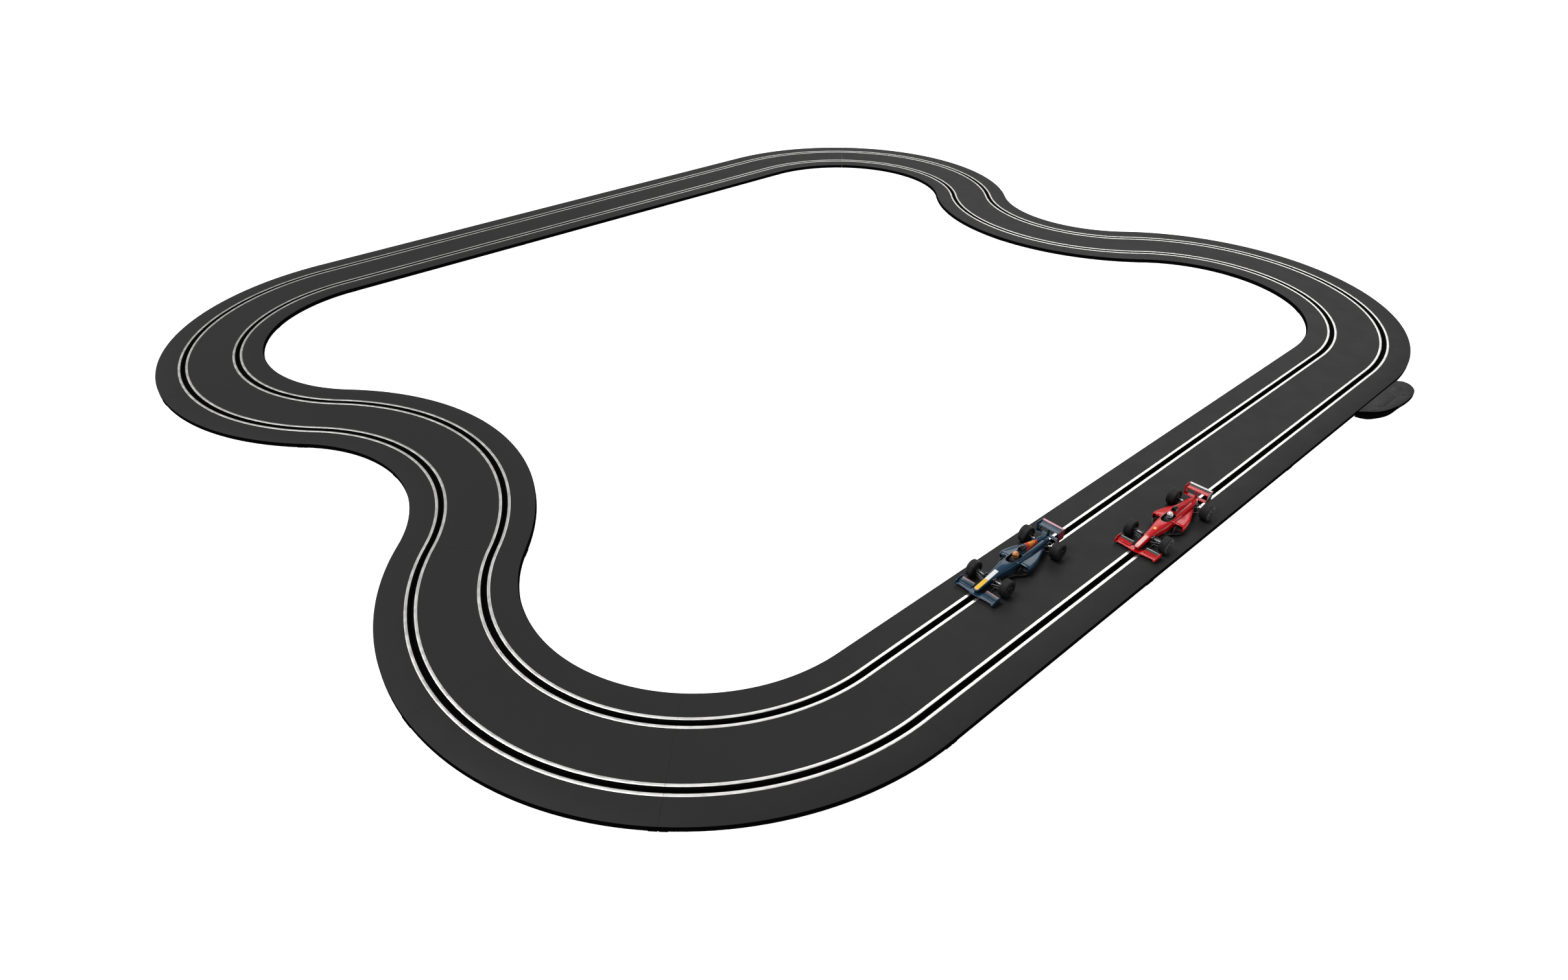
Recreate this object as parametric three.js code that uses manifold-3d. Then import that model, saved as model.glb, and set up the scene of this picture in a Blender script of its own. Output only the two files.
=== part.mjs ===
// A two-lane slot car set: a closed circuit of clip-together track pieces with metal rails, a power base on
// its edge, and two open-wheel cars standing in their slots. Millimetres, +Z up.
// The circuit is laid out from the start of its front straight, which runs along +X with the infield on its
// +Y side. At the end the whole set is centred over the origin, with the table at Z = 0.
import * as THREE from "three";
import { mergeVertices } from "three/addons/utils/BufferGeometryUtils.js";
import Module from "manifold-3d";

const wasm = await Module();
wasm.setup();

// ---------------------------------------------------------------- driving dimensions
const GAP = 0.3; // clearance between neighbouring pieces

// Track
const STRAIGHT = 350;
const CURVE_RADIUS = 294; // of the centre line
const CURVE_ANGLE = Math.PI / 4;
const CURVE_STEPS = 4;
const LAP = "SSS LLL RR LLL SSS LLL RR LLL"; // S straight, L curve to the left, R curve to the right
const TRACK_WIDTH = 156;
const TRACK_HEIGHT = 6.5;
const DECK = 2.6; // thickness of the road surface
const SKIRT = 2; // thickness of the edge walls
const EDGE_CHAMFER = 0.6;
const LANE_OFFSET = 39; // of each slot from the centre line
const SLOT_WIDTH = 3.2;
const SLOT_DEPTH = 5.2;
const SLOT_WALL = 1.5;
const RAIL_WIDTH = 3.5;
const RAIL_HEIGHT = 1.1;
const RAIL_OFFSET = 5.4; // of each rail's middle from the middle of its slot
const RAIL_PROUD = 0.1; // how far a rail stands above the road surface
const TONGUE_OFFSET = 58; // of a locking tongue from the centre line
const TONGUE_WIDTH = 12;
const TONGUE_REACH = 8; // into the neighbouring piece
const TONGUE_ROOT = 7;
const TONGUE_LOW = 2;
const TONGUE_THICK = 1.5;

// Power base, on the outer edge of the last piece of the front straight
const BASE_TOP = 5.7; // height of its top face
const BASE_STEP = 3.4; // height of its lower shelf
const BASE_WALL = 1.6;
const BASE_LID = 1.4; // thickness of its top face
const BASE_EDGE = -TRACK_WIDTH / 2 - GAP;
const BASE_START = 913; // where its outline leaves the track
const SHELF_START = 905; // the same with its lower shelf
const BASE_END = 1054; // where its outline returns
const BASE_MIDDLE = 990;
const PLATE_THICK = 1;
const BOARD_ENDS = [945, 1042];
const SOCKETS = [978, 1000, 1022]; // middles of the supply inlet and the two hand-control sockets
const SOCKET_WIDTH = 11;
const SOCKET_DEPTH = 6.5;
const SOCKET_WALL = 2; // of the strip beyond its first and last socket
const SOCKET_LIP = 0.5; // above and below each socket
const STRIP_FRONT = -107; // outer face of the socket strip
const STRIP_BACK = -101;
const WINDOW_REACH = 12; // far enough out to cut right through the housing's edge

// Cars: X is measured from the guide's pivot towards the tail, and Z from the road surface
const CARS = [
  { name: "red_car", guideX: 388, lane: -1, paint: 0xb3101c, helmet: 0xd8dade },
  { name: "blue_car", guideX: 187, lane: 1, paint: 0x1c3350, helmet: 0xe08a1e },
];
const FRONT_AXLE_X = 16;
const WHEELBASE = 97.5;
const REAR_AXLE_X = FRONT_AXLE_X + WHEELBASE;
const CAR_HALF_WIDTH = 28;
const TYRE_RADIUS = 10.4;
const AXLE_Z = TYRE_RADIUS + GAP;
const FRONT_TYRE_WIDTH = 9.5;
const REAR_TYRE_WIDTH = 11.5;
const HUB_RADIUS = 6.2;
const AXLE_RADIUS = 1.2;
const BEARING_RADIUS = AXLE_RADIUS + 1.4 * GAP; // across the flats of an eight-sided bore too
const WHEEL_SIDES = 16;
const FLOOR_LOW = 2.4;
const FLOOR_TOP = 4;
const FLOOR_BITE = 0.5; // how far up into the floor the pieces that stand on it start
const SHELL_WALL = 1.2;
const SHELL_SINK = 6; // how far the shell's hollows run down past its lower edge
const COVER_START = 44; // where the shell stops being solid
const POD_FRONT_WALL = 3.5;
const INTAKE = { x: [59, 62.4], y: [10.5, 18.4], z: [6.6, 12.4] };
const NOTCH_HALF = [2.4, 12]; // room in the shell for an axle, along and across the car
const WISHBONE_FEET = { x: [-4.5, 8], y: 6.4, z: 8.5 }; // X from the front axle
const WISHBONE_TIPS = { x: 2.6, y: 17.4 };
const WISHBONE_SECTION = [1.4, 1];
const ARM_FOOT = [-6, 10]; // its two ends, from the front axle
const EAR_HALF_LENGTH = 3; // of the axle bearings
const FRONT_EARS = [5.9, 7.4];
const REAR_EARS = [7.1, 9];
const CRADLE_HALF_WIDTH = 5;
const GEAR_WINDOW = { x: [-8, 7.4], half: 6.6 }; // X from the rear axle
const GUIDE_POST_RADIUS = 1.8;
const GUIDE_BORE_RADIUS = GUIDE_POST_RADIUS + 1.5 * GAP;
const GUIDE_TOP = FLOOR_TOP + 1.4;
const BLADE_ENDS = [-8, 9];
const BLADE_THICK = 1.8;
const BLADE_DEPTH = 4.6;
const BRAID_PLATE = { x: [-9, 10], half: 4.4, z: [0.5, 1.6] };
const FRONT_WING_HALF = 27;
const FRONT_PLANE_Z = [2.9, 4];
const FLAP = { chord: 4.5, thick: 1, inner: 8, x: -1.1, z: 4.1, tilt: Math.PI / 22 };
const FRONT_END_PLATE = { x: [-12.6, 1.6], z: [2.6, 8.4] };
const PYLON = { x: [-9, -5], y: [1, 2], z: [3.4, 5.9] };
const END_PLATE_THICK = 1;
const REAR_WING_HALF = 15.2;
const REAR_END_PLATE = { x: [0.4, 13], z: [14.6, 28.4] }; // X from the back of the shell
const REAR_PLANES = [
  { x: [1.4, 9], z: [25.6, 26.8] },
  { x: [8, 12], z: [26.4, 27.4] },
  { x: [0.2, 5.4], z: [15.2, 16.4] },
];
const REAR_PYLON = { x: [0.2, 5.4], half: 1, z: [11, 26] };
const HELMET = { radius: 4.1, x: 61, z: 20.6 };
const DRIVER_TRAY = { x: [50.5, 66.5], half: 4.8, z: [8.6, 9.8] };
const MOTOR_FRONT = 74.5;
const MOTOR_BACK = 96;
const MOTOR_WIDTH = 12;
const MOTOR_HEIGHT = 9;
const CROWN_TEETH = 27;
const CROWN_RADIUS = 5.6;
const CROWN_FACE = 2.6; // distance of the crown gear's inner face from the car's middle
const CROWN_THICK = 1.6;
const PINION_TEETH = 9;
const PINION_RADIUS = 2.1;
const PINION_LENGTH = 6;
const TOOTH_HEIGHT = 0.5;
const SHAFT_RADIUS = 0.8;
const SHAFT_LENGTH = 9;
const SHAFT_TO_PINION = 8;

// ---------------------------------------------------------------- materials
const finish = (color, roughness, metalness) =>
  new THREE.MeshStandardMaterial({ color, roughness, metalness });
const plastic = (color, roughness = 0.7) => finish(color, roughness, 0);
const metal = (color, roughness = 0.35) => finish(color, roughness, 1);

const TRACK_GREY = 0x37383a;
const BASE_GREY = 0x3c3d3f;
const RAIL_STEEL = 0xd6d7d4;
const BOARD_GREEN = 0x1f5a36;
const BLACK_PLASTIC = 0x141416;
const TYRE_BLACK = 0x1b1b1d;
const MOTOR_STEEL = 0xa9abad;
const AXLE_STEEL = 0xb9bbbd;
const BRASS = 0xb8923f;
const CROWN_NYLON = 0xe6e2d4;

// ---------------------------------------------------------------- solids
// Joins the vertices of a closed geometry and loads it as a solid.
function solid(geometry) {
  const bare = geometry.clone();
  bare.deleteAttribute("normal");
  bare.deleteAttribute("uv");
  const merged = mergeVertices(bare, 1e-3);
  return new wasm.Manifold(
    new wasm.Mesh({
      numProp: 3,
      vertProperties: merged.attributes.position.array,
      triVerts: new Uint32Array(merged.index.array),
    }),
  );
}

function geometryOf(made) {
  const mesh = made.getMesh();
  return new THREE.BufferGeometry()
    .setAttribute("position", new THREE.BufferAttribute(mesh.vertProperties, 3))
    .setIndex(new THREE.BufferAttribute(mesh.triVerts, 1));
}

const join = (...solids) => solids.reduce((whole, next) => whole.add(next));
const cut = (body, ...tools) => tools.reduce((rest, tool) => rest.subtract(tool), body);

// A box from its low and high corners.
function block([x0, y0, z0], [x1, y1, z1]) {
  const box = new THREE.BoxGeometry(x1 - x0, y1 - y0, z1 - z0);
  return solid(box.translate((x0 + x1) / 2, (y0 + y1) / 2, (z0 + z1) / 2));
}

// A flat outline in X and Y, standing between two heights.
function plate(shape, low, high, curveSegments = 3) {
  const depth = high - low;
  const slab = new THREE.ExtrudeGeometry(shape, { depth, bevelEnabled: false, curveSegments });
  return solid(slab.translate(0, 0, low));
}

// A pin or bore across the car, with its middle at (x, z).
function crossPin(x, z, radius, y0, y1, sides = 8) {
  const pin = new THREE.CylinderGeometry(radius, radius, y1 - y0, sides);
  return solid(pin.translate(x, (y0 + y1) / 2, z));
}

// A pin or bore standing upright at (x, y).
function post(x, y, radius, low, high, sides = 8) {
  const pin = new THREE.CylinderGeometry(radius, radius, high - low, sides).rotateX(Math.PI / 2);
  return solid(pin.translate(x, y, (low + high) / 2));
}

const mirrored = (make) => join(make(1), make(-1));

// An upright plate along one side of the car: its inner and outer faces, its ends and its heights.
function sidePlate(side, faces, [start, end], [low, high]) {
  const [near, far] = faces.map((y) => side * y).sort((a, b) => a - b);
  return block([start, near, low], [end, far, high]);
}

// A symmetrical outline in X and Y from the half with positive Y, listed from front to back.
function symmetrical(half) {
  const other = half.map(([x, y]) => [x, -y]).reverse();
  return new THREE.Shape([...half, ...other].map(([x, y]) => new THREE.Vector2(x, y)));
}

// A body skinned along X over rounded sections, each given as [x, half width, low, high].
function skin(sections, sides = 12, squareness = 0.5) {
  const tube = new THREE.CylinderGeometry(1, 1, 1, sides, sections.length - 1);
  const points = tube.attributes.position;
  const rounded = (value) => Math.sign(value) * Math.abs(value) ** squareness;
  for (let i = 0; i < points.count; i++) {
    const radial = Math.hypot(points.getX(i), points.getZ(i));
    const row = Math.round((points.getY(i) + 0.5) * (sections.length - 1));
    const [x, half, low, high] = sections[row];
    const across = radial ? rounded(points.getZ(i) / radial) * radial : 0;
    const up = radial ? rounded(points.getX(i) / radial) * radial : 0;
    points.setXYZ(i, x, across * half, (low + high) / 2 + (up * (high - low)) / 2);
  }
  return solid(tube);
}

// ---------------------------------------------------------------- the lap
// Where a lap piece lies: its start, its heading there, its length, and how much it turns per millimetre.
function layOut() {
  const pieces = [];
  let [x, y, heading] = [0, 0, 0];
  for (const kind of LAP.replaceAll(" ", "")) {
    const turn = { S: 0, L: 1, R: -1 }[kind];
    const piece = { kind, x, y, heading, turn, length: turn ? CURVE_RADIUS * CURVE_ANGLE : STRAIGHT };
    pieces.push(piece);
    ({ x, y, heading } = along(piece, piece.length));
  }
  return pieces;
}

// The point and heading a distance along a piece's centre line.
function along(piece, distance) {
  const { x, y, heading, turn } = piece;
  if (!turn) return { x: x + distance * Math.cos(heading), y: y + distance * Math.sin(heading), heading };
  const after = heading + (turn * distance) / CURVE_RADIUS;
  return {
    x: x + turn * CURVE_RADIUS * (Math.sin(after) - Math.sin(heading)),
    y: y + turn * CURVE_RADIUS * (Math.cos(heading) - Math.cos(after)),
    heading: after,
  };
}

// Bends a geometry onto a piece: its X is the offset to the left of the centre line, its Y the height and
// its Z the distance.
function bendOnto(geometry, piece) {
  const points = geometry.attributes.position;
  for (let i = 0; i < points.count; i++) {
    const [left, height, distance] = [points.getX(i), points.getY(i), points.getZ(i)];
    const { x, y, heading } = along(piece, distance);
    points.setXYZ(i, x - left * Math.sin(heading), y + left * Math.cos(heading), height);
  }
  return geometry;
}

// ---------------------------------------------------------------- track pieces
// Half of the track's section over one slot, from the far edge of its rail recess to the slot's floor.
function slotProfile(centre) {
  const recess = RAIL_OFFSET + RAIL_WIDTH / 2 + GAP;
  const ledge = TRACK_HEIGHT + RAIL_PROUD - RAIL_HEIGHT - GAP;
  const half = [
    [recess, TRACK_HEIGHT],
    [recess, ledge],
    [SLOT_WIDTH / 2, ledge],
    [SLOT_WIDTH / 2, TRACK_HEIGHT - SLOT_DEPTH],
  ];
  const near = half.map(([x, z]) => [centre - x, z]).reverse();
  return [...half.map(([x, z]) => [centre + x, z]), ...near];
}

// The closed section of a track piece: road, slots and edge walls, open beneath.
function trackShape() {
  const edge = TRACK_WIDTH / 2;
  const under = TRACK_HEIGHT - DECK;
  const channel = SLOT_WIDTH / 2 + SLOT_WALL;
  const bottom = [];
  for (const centre of [-LANE_OFFSET, LANE_OFFSET])
    bottom.push(
      [centre - channel, under],
      [centre - channel, 0],
      [centre + channel, 0],
      [centre + channel, under],
    );
  const section = [
    [edge, 0],
    [edge, TRACK_HEIGHT - EDGE_CHAMFER],
    [edge - EDGE_CHAMFER, TRACK_HEIGHT],
    ...slotProfile(LANE_OFFSET),
    ...slotProfile(-LANE_OFFSET),
    [-edge + EDGE_CHAMFER, TRACK_HEIGHT],
    [-edge, TRACK_HEIGHT - EDGE_CHAMFER],
    [-edge, 0],
    [-edge + SKIRT, 0],
    [-edge + SKIRT, under],
    ...bottom,
    [edge - SKIRT, under],
    [edge - SKIRT, 0],
  ];
  return new THREE.Shape(section.map(([x, z]) => new THREE.Vector2(x, z)));
}

// A locking tongue: a root moulded under the road and a tab that reaches under the next piece's road.
function tongue(piece, atEnd) {
  const under = TRACK_HEIGHT - DECK;
  const side = new THREE.Shape();
  side.moveTo(-TONGUE_ROOT, TONGUE_LOW);
  side.lineTo(TONGUE_REACH, TONGUE_LOW);
  side.lineTo(TONGUE_REACH, TONGUE_LOW + TONGUE_THICK);
  side.lineTo(-GAP, TONGUE_LOW + TONGUE_THICK);
  side.lineTo(-GAP, under + DECK / 4);
  side.lineTo(-TONGUE_ROOT, under + DECK / 4);
  const tab = new THREE.ExtrudeGeometry(side, { depth: TONGUE_WIDTH, bevelEnabled: false });
  tab.translate(0, 0, -TONGUE_OFFSET - TONGUE_WIDTH / 2).rotateX(Math.PI / 2);
  const { x, y, heading } = along(piece, atEnd ? piece.length : 0);
  return solid(tab.rotateZ(heading + (atEnd ? 0 : Math.PI)).translate(x, y, 0));
}

function trackPiece(piece) {
  const length = piece.length - GAP;
  const steps = piece.turn ? CURVE_STEPS : 1;
  const road = new THREE.ExtrudeGeometry(trackShape(), { depth: length, steps, bevelEnabled: false });
  const bed = solid(bendOnto(road.translate(0, 0, GAP / 2), piece));
  return join(bed, tongue(piece, true), tongue(piece, false));
}

// One rail all the way round, with a gap where its ends meet. Its steps fall where the track's do.
function rail(pieces, offset) {
  const stations = [];
  pieces.forEach((piece, index) => {
    const steps = piece.turn ? CURVE_STEPS : 1;
    const inset = GAP / 2;
    for (let step = index ? 1 : 0; step <= steps; step++) {
      const share = step / steps;
      stations.push(along(piece, inset + (piece.length - 2 * inset) * share));
    }
  });
  const bar = new THREE.BoxGeometry(RAIL_WIDTH, RAIL_HEIGHT, 1, 1, 1, stations.length - 1);
  const points = bar.attributes.position;
  for (let i = 0; i < points.count; i++) {
    const { x, y, heading } = stations[Math.round((points.getZ(i) + 0.5) * (stations.length - 1))];
    const left = offset + points.getX(i);
    const height = TRACK_HEIGHT + RAIL_PROUD - RAIL_HEIGHT / 2 + points.getY(i);
    points.setXYZ(i, x - left * Math.sin(heading), y + left * Math.cos(heading), height);
  }
  return solid(bar);
}

// ---------------------------------------------------------------- power base
// The points its outline passes through, and those that take the place of the first with the shelf.
const BASE_OUTLINE = [
  [939, -101.5],
  [978, -112.5],
  [1014, -114.5],
  [1043, -110],
  [1058, -98],
  [1061, -87],
];
const BASE_SHELF = [
  [907, -88],
  [914, -97],
  [942, -109.5],
];

// The half-oval outline of the power base, moved in by a margin, with or without the lower shelf at its
// near end.
function baseShape(margin, shelf) {
  const middle = new THREE.Vector2(BASE_MIDDLE, BASE_EDGE);
  const inward = ([x, y]) => {
    const point = new THREE.Vector2(x, y);
    return point.add(middle.clone().sub(point).setLength(margin));
  };
  const shape = new THREE.Shape();
  shape.moveTo((shelf ? SHELF_START : BASE_START) + margin, BASE_EDGE - margin);
  if (shelf) {
    shape.splineThru(BASE_SHELF.map(inward));
    shape.splineThru(BASE_OUTLINE.slice(1).map(inward));
  } else shape.splineThru(BASE_OUTLINE.map(inward));
  shape.lineTo(BASE_END - margin, BASE_EDGE - margin);
  return shape;
}

function baseHousing() {
  const shell = join(
    plate(baseShape(0, false), 0, BASE_TOP, 2),
    plate(baseShape(0, true), 0, BASE_STEP, 2),
  );
  const hollow = join(
    plate(baseShape(BASE_WALL, false), -1, BASE_TOP - BASE_LID, 2),
    plate(baseShape(BASE_WALL, true), -1, BASE_STEP - BASE_LID / 2, 2),
  );
  const half = SOCKET_WIDTH / 2 + 2 * GAP;
  const top = BASE_TOP - BASE_LID - GAP;
  const windows = SOCKETS.map((x) =>
    block([x - half, STRIP_FRONT - WINDOW_REACH, PLATE_THICK + GAP], [x + half, STRIP_BACK, top]),
  );
  return cut(shell, hollow, ...windows);
}

const basePlate = () => plate(baseShape(BASE_WALL + GAP, true), 0, PLATE_THICK, 2);

function circuitBoard() {
  const low = PLATE_THICK + 2 * GAP;
  const [start, end] = BOARD_ENDS;
  return block([start, STRIP_BACK + 2, low], [end, BASE_EDGE - BASE_WALL - 2, low + 1]);
}

// The strip of three flat sockets behind the windows of the power base.
function socketStrip() {
  const low = PLATE_THICK + GAP;
  const high = BASE_TOP - BASE_LID - GAP;
  const first = SOCKETS[0] - SOCKET_WIDTH / 2 - SOCKET_WALL;
  const last = SOCKETS.at(-1) + SOCKET_WIDTH / 2 + SOCKET_WALL;
  const mouths = SOCKETS.map((x) =>
    block(
      [x - SOCKET_WIDTH / 2, STRIP_FRONT - 1, low + SOCKET_LIP],
      [x + SOCKET_WIDTH / 2, STRIP_FRONT + SOCKET_DEPTH, high - SOCKET_LIP],
    ),
  );
  return cut(block([first, STRIP_FRONT, low], [last, STRIP_BACK, high]), ...mouths);
}

// ---------------------------------------------------------------- cars
// Sections of the tub, from the nose to the tail, each [x, half width, low, high].
const TUB = [
  [-10, 2.4, 6.4, 9],
  [0, 3.4, 6.2, 11.2],
  [14, 4.6, 5.6, 13.8],
  [30, 6.4, 4.6, 16.6],
  [44, 8.2, 4.5, 18.4],
  [66, 9, 4.5, 18.8],
  [84, 8.6, 4.5, 18.8],
  [104, 7.4, 4.5, 19],
  [120.8, 6.6, 7, 18.6],
];
const SIDEPODS = [
  [60, 20.4, 4.5, 13.8],
  [66, 21, 4.5, 14],
  [82, 17.6, 4.5, 12.8],
  [104, 9.5, 4.5, 11.4],
];
const ENGINE_COVER = [
  [68, 3.4, 15, 27.6],
  [72.5, 3.6, 15, 28],
  [86, 3.2, 15, 25.2],
  [104, 2.2, 15, 21],
  [118, 1.4, 15, 18.8],
];
const COCKPIT = [
  [50, 3.4, 9, 30],
  [54.5, 5.6, 9, 30],
  [65.5, 5.6, 9, 30],
  [67.7, 4, 9, 30],
];
const AIRBOX = [
  [66.5, 2.2, 22, 26.4],
  [70.5, 2.2, 22, 26.4],
];
const SHOULDERS = [
  [57, 4, 9, 15.5],
  [61.5, 5, 9, 17.6],
  [65.5, 4.4, 9, 16.6],
];

// Half outlines of the floor and of the front wing's plane, each point as [x, half width].
const FLOOR_OUTLINE = [
  [-4.2, 3.4],
  [8, 4.4],
  [10, 7.4],
  [30, 7.4],
  [48, 12],
  [60, 19.6],
  [68, 20.2],
  [84, 16.8],
  [104, 9],
  [123, 9],
];
const FRONT_PLANE = [
  [-13.6, 9],
  [-11.4, FRONT_WING_HALF],
  [-3.2, FRONT_WING_HALF],
  [-4.6, 9],
];

// A skin's sections moved in by the wall's thickness and let down, so that the hollow opens beneath.
const hollowed = (sections) =>
  sections.map(([x, half, low, high]) => [x, half - SHELL_WALL, low - SHELL_SINK, high - SHELL_WALL]);

// Room for an axle, cut up into the shell from beneath.
function axleNotch(x) {
  const [along, across] = NOTCH_HALF;
  return block([x - along, -across, 0], [x + along, across, AXLE_Z + AXLE_RADIUS + 2 * GAP]);
}

function bodyShell() {
  const covered = TUB.filter(([x]) => x >= COVER_START);
  const tub = covered.map(([x, ...rest]) => [x < REAR_AXLE_X ? x : x - SHELL_WALL, ...rest]);
  const pods = SIDEPODS.map(([x, ...rest], i) => [i ? x : x + POD_FRONT_WALL, ...rest]);
  const intakes = mirrored((side) => sidePlate(side, INTAKE.y, INTAKE.x, INTAKE.z));
  return cut(
    join(skin(TUB), skin(SIDEPODS), skin(ENGINE_COVER, 8)),
    skin(hollowed(tub)),
    skin(hollowed(pods)),
    skin(COCKPIT),
    skin(AIRBOX, 8),
    intakes,
    axleNotch(FRONT_AXLE_X),
    axleNotch(REAR_AXLE_X),
  );
}

// One bar of a front wishbone, from the chassis upright out towards the wheel.
function wishbone(side, footX) {
  const { x, y } = WISHBONE_TIPS;
  const foot = new THREE.Vector3(FRONT_AXLE_X + footX, side * WISHBONE_FEET.y, WISHBONE_FEET.z);
  const tip = new THREE.Vector3(FRONT_AXLE_X + Math.sign(footX) * x, side * y, AXLE_Z);
  const bar = new THREE.BoxGeometry(...WISHBONE_SECTION, foot.distanceTo(tip));
  const aim = new THREE.Matrix4().lookAt(tip, foot, new THREE.Vector3(0, 0, 1));
  const middle = foot.clone().add(tip).multiplyScalar(0.5);
  return solid(bar.applyMatrix4(aim.setPosition(middle)));
}

function chassis() {
  const pan = plate(symmetrical(FLOOR_OUTLINE), FLOOR_LOW, FLOOR_TOP);
  const low = FLOOR_LOW + FLOOR_BITE;
  const ears = (x, width) => {
    const ends = [x - EAR_HALF_LENGTH, x + EAR_HALF_LENGTH];
    return mirrored((side) => sidePlate(side, width, ends, [low, AXLE_Z + EAR_HALF_LENGTH]));
  };
  const cradle = block(
    [MOTOR_FRONT + 2, -CRADLE_HALF_WIDTH, low],
    [MOTOR_BACK - 2, CRADLE_HALF_WIDTH, AXLE_Z - MOTOR_HEIGHT / 2 - GAP],
  );
  const arms = mirrored((side) => join(...WISHBONE_FEET.x.map((x) => wishbone(side, x))));
  const footEnds = ARM_FOOT.map((x) => FRONT_AXLE_X + x);
  const footHeights = [low, WISHBONE_FEET.z + 0.6];
  const armFeet = mirrored((side) => sidePlate(side, FRONT_EARS, footEnds, footHeights));
  const [windowStart, windowEnd] = GEAR_WINDOW.x.map((x) => REAR_AXLE_X + x);
  return cut(
    join(pan, ears(FRONT_AXLE_X, FRONT_EARS), ears(REAR_AXLE_X, REAR_EARS), cradle, armFeet, arms),
    post(0, 0, GUIDE_BORE_RADIUS, 0, 10),
    block([windowStart, -GEAR_WINDOW.half, 0], [windowEnd, GEAR_WINDOW.half, 10]),
    crossPin(FRONT_AXLE_X, AXLE_Z, BEARING_RADIUS, -12, 12),
    crossPin(REAR_AXLE_X, AXLE_Z, BEARING_RADIUS, -12, 12),
  );
}

function frontWing() {
  const half = FRONT_WING_HALF;
  const { chord, thick, inner, x, z, tilt } = FLAP;
  const flaps = mirrored((side) => {
    const flap = new THREE.BoxGeometry(chord, half - inner, thick).rotateY(-tilt);
    return solid(flap.translate(x, (side * (half + inner)) / 2, z));
  });
  const width = [half - END_PLATE_THICK, half];
  const ends = mirrored((side) => sidePlate(side, width, FRONT_END_PLATE.x, FRONT_END_PLATE.z));
  const pylons = mirrored((side) => sidePlate(side, PYLON.y, PYLON.x, PYLON.z));
  return join(plate(symmetrical(FRONT_PLANE), ...FRONT_PLANE_Z), flaps, ends, pylons);
}

function rearWing() {
  const back = TUB.at(-1)[0] + GAP;
  const placed = (ends) => ends.map((x) => back + x);
  const across = ({ x, z }, half) => {
    const [front, rear] = placed(x);
    return block([front, -half, z[0]], [rear, half, z[1]]);
  };
  const width = [REAR_WING_HALF - END_PLATE_THICK, REAR_WING_HALF];
  const ends = mirrored((side) => sidePlate(side, width, placed(REAR_END_PLATE.x), REAR_END_PLATE.z));
  const planes = REAR_PLANES.map((plane) => across(plane, REAR_WING_HALF - END_PLATE_THICK / 2));
  return join(ends, ...planes, across(REAR_PYLON, REAR_PYLON.half));
}

// The driver's bust on the cockpit tray.
function driver() {
  const helmet = new THREE.SphereGeometry(HELMET.radius, 10, 7).rotateX(Math.PI / 2);
  const { x, half, z } = DRIVER_TRAY;
  const tray = block([x[0], -half, z[0]], [x[1], half, z[1]]);
  return join(solid(helmet.translate(HELMET.x, 0, HELMET.z)), skin(SHOULDERS, 8), tray);
}

function motor() {
  const half = MOTOR_WIDTH / 2;
  const tall = MOTOR_HEIGHT / 2;
  const flat = MOTOR_HEIGHT * 0.3;
  const can = new THREE.Shape();
  can.moveTo(-flat, -half);
  can.lineTo(flat, -half);
  can.quadraticCurveTo(tall, -half, tall, -flat);
  can.lineTo(tall, flat);
  can.quadraticCurveTo(tall, half, flat, half);
  can.lineTo(-flat, half);
  can.quadraticCurveTo(-tall, half, -tall, flat);
  can.lineTo(-tall, -flat);
  can.quadraticCurveTo(-tall, -half, -flat, -half);
  const depth = MOTOR_BACK - MOTOR_FRONT;
  const body = new THREE.ExtrudeGeometry(can, { depth, bevelEnabled: false, curveSegments: 3 });
  return solid(body.rotateY(Math.PI / 2).translate(MOTOR_FRONT, 0, AXLE_Z));
}

// A gear's outline: a tip and a valley for each tooth.
function gearShape(teeth, tip, valley) {
  const points = [];
  for (let i = 0; i < 2 * teeth; i++) {
    const radius = i % 2 ? valley : tip;
    const angle = (Math.PI * i) / teeth;
    points.push(new THREE.Vector2(radius * Math.cos(angle), radius * Math.sin(angle)));
  }
  return new THREE.Shape(points);
}

// The pinion on the motor's shaft.
function pinion() {
  const start = MOTOR_BACK + GAP;
  const teeth = gearShape(PINION_TEETH, PINION_RADIUS, PINION_RADIUS - TOOTH_HEIGHT);
  const gear = new THREE.ExtrudeGeometry(teeth, { depth: PINION_LENGTH, bevelEnabled: false });
  const shaft = new THREE.CylinderGeometry(SHAFT_RADIUS, SHAFT_RADIUS, SHAFT_LENGTH, 10);
  return join(
    solid(gear.rotateY(Math.PI / 2).translate(start + SHAFT_TO_PINION, 0, AXLE_Z)),
    solid(shaft.rotateZ(Math.PI / 2).translate(start + SHAFT_LENGTH / 2, 0, AXLE_Z)),
  );
}

function crownGear() {
  const teeth = gearShape(CROWN_TEETH, CROWN_RADIUS, CROWN_RADIUS - TOOTH_HEIGHT);
  const wheel = new THREE.ExtrudeGeometry(teeth, { depth: CROWN_THICK, bevelEnabled: false });
  wheel.rotateX(Math.PI / 2).translate(REAR_AXLE_X, CROWN_FACE + CROWN_THICK, AXLE_Z);
  return cut(solid(wheel), crossPin(REAR_AXLE_X, AXLE_Z, BEARING_RADIUS, 0, 10));
}

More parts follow.
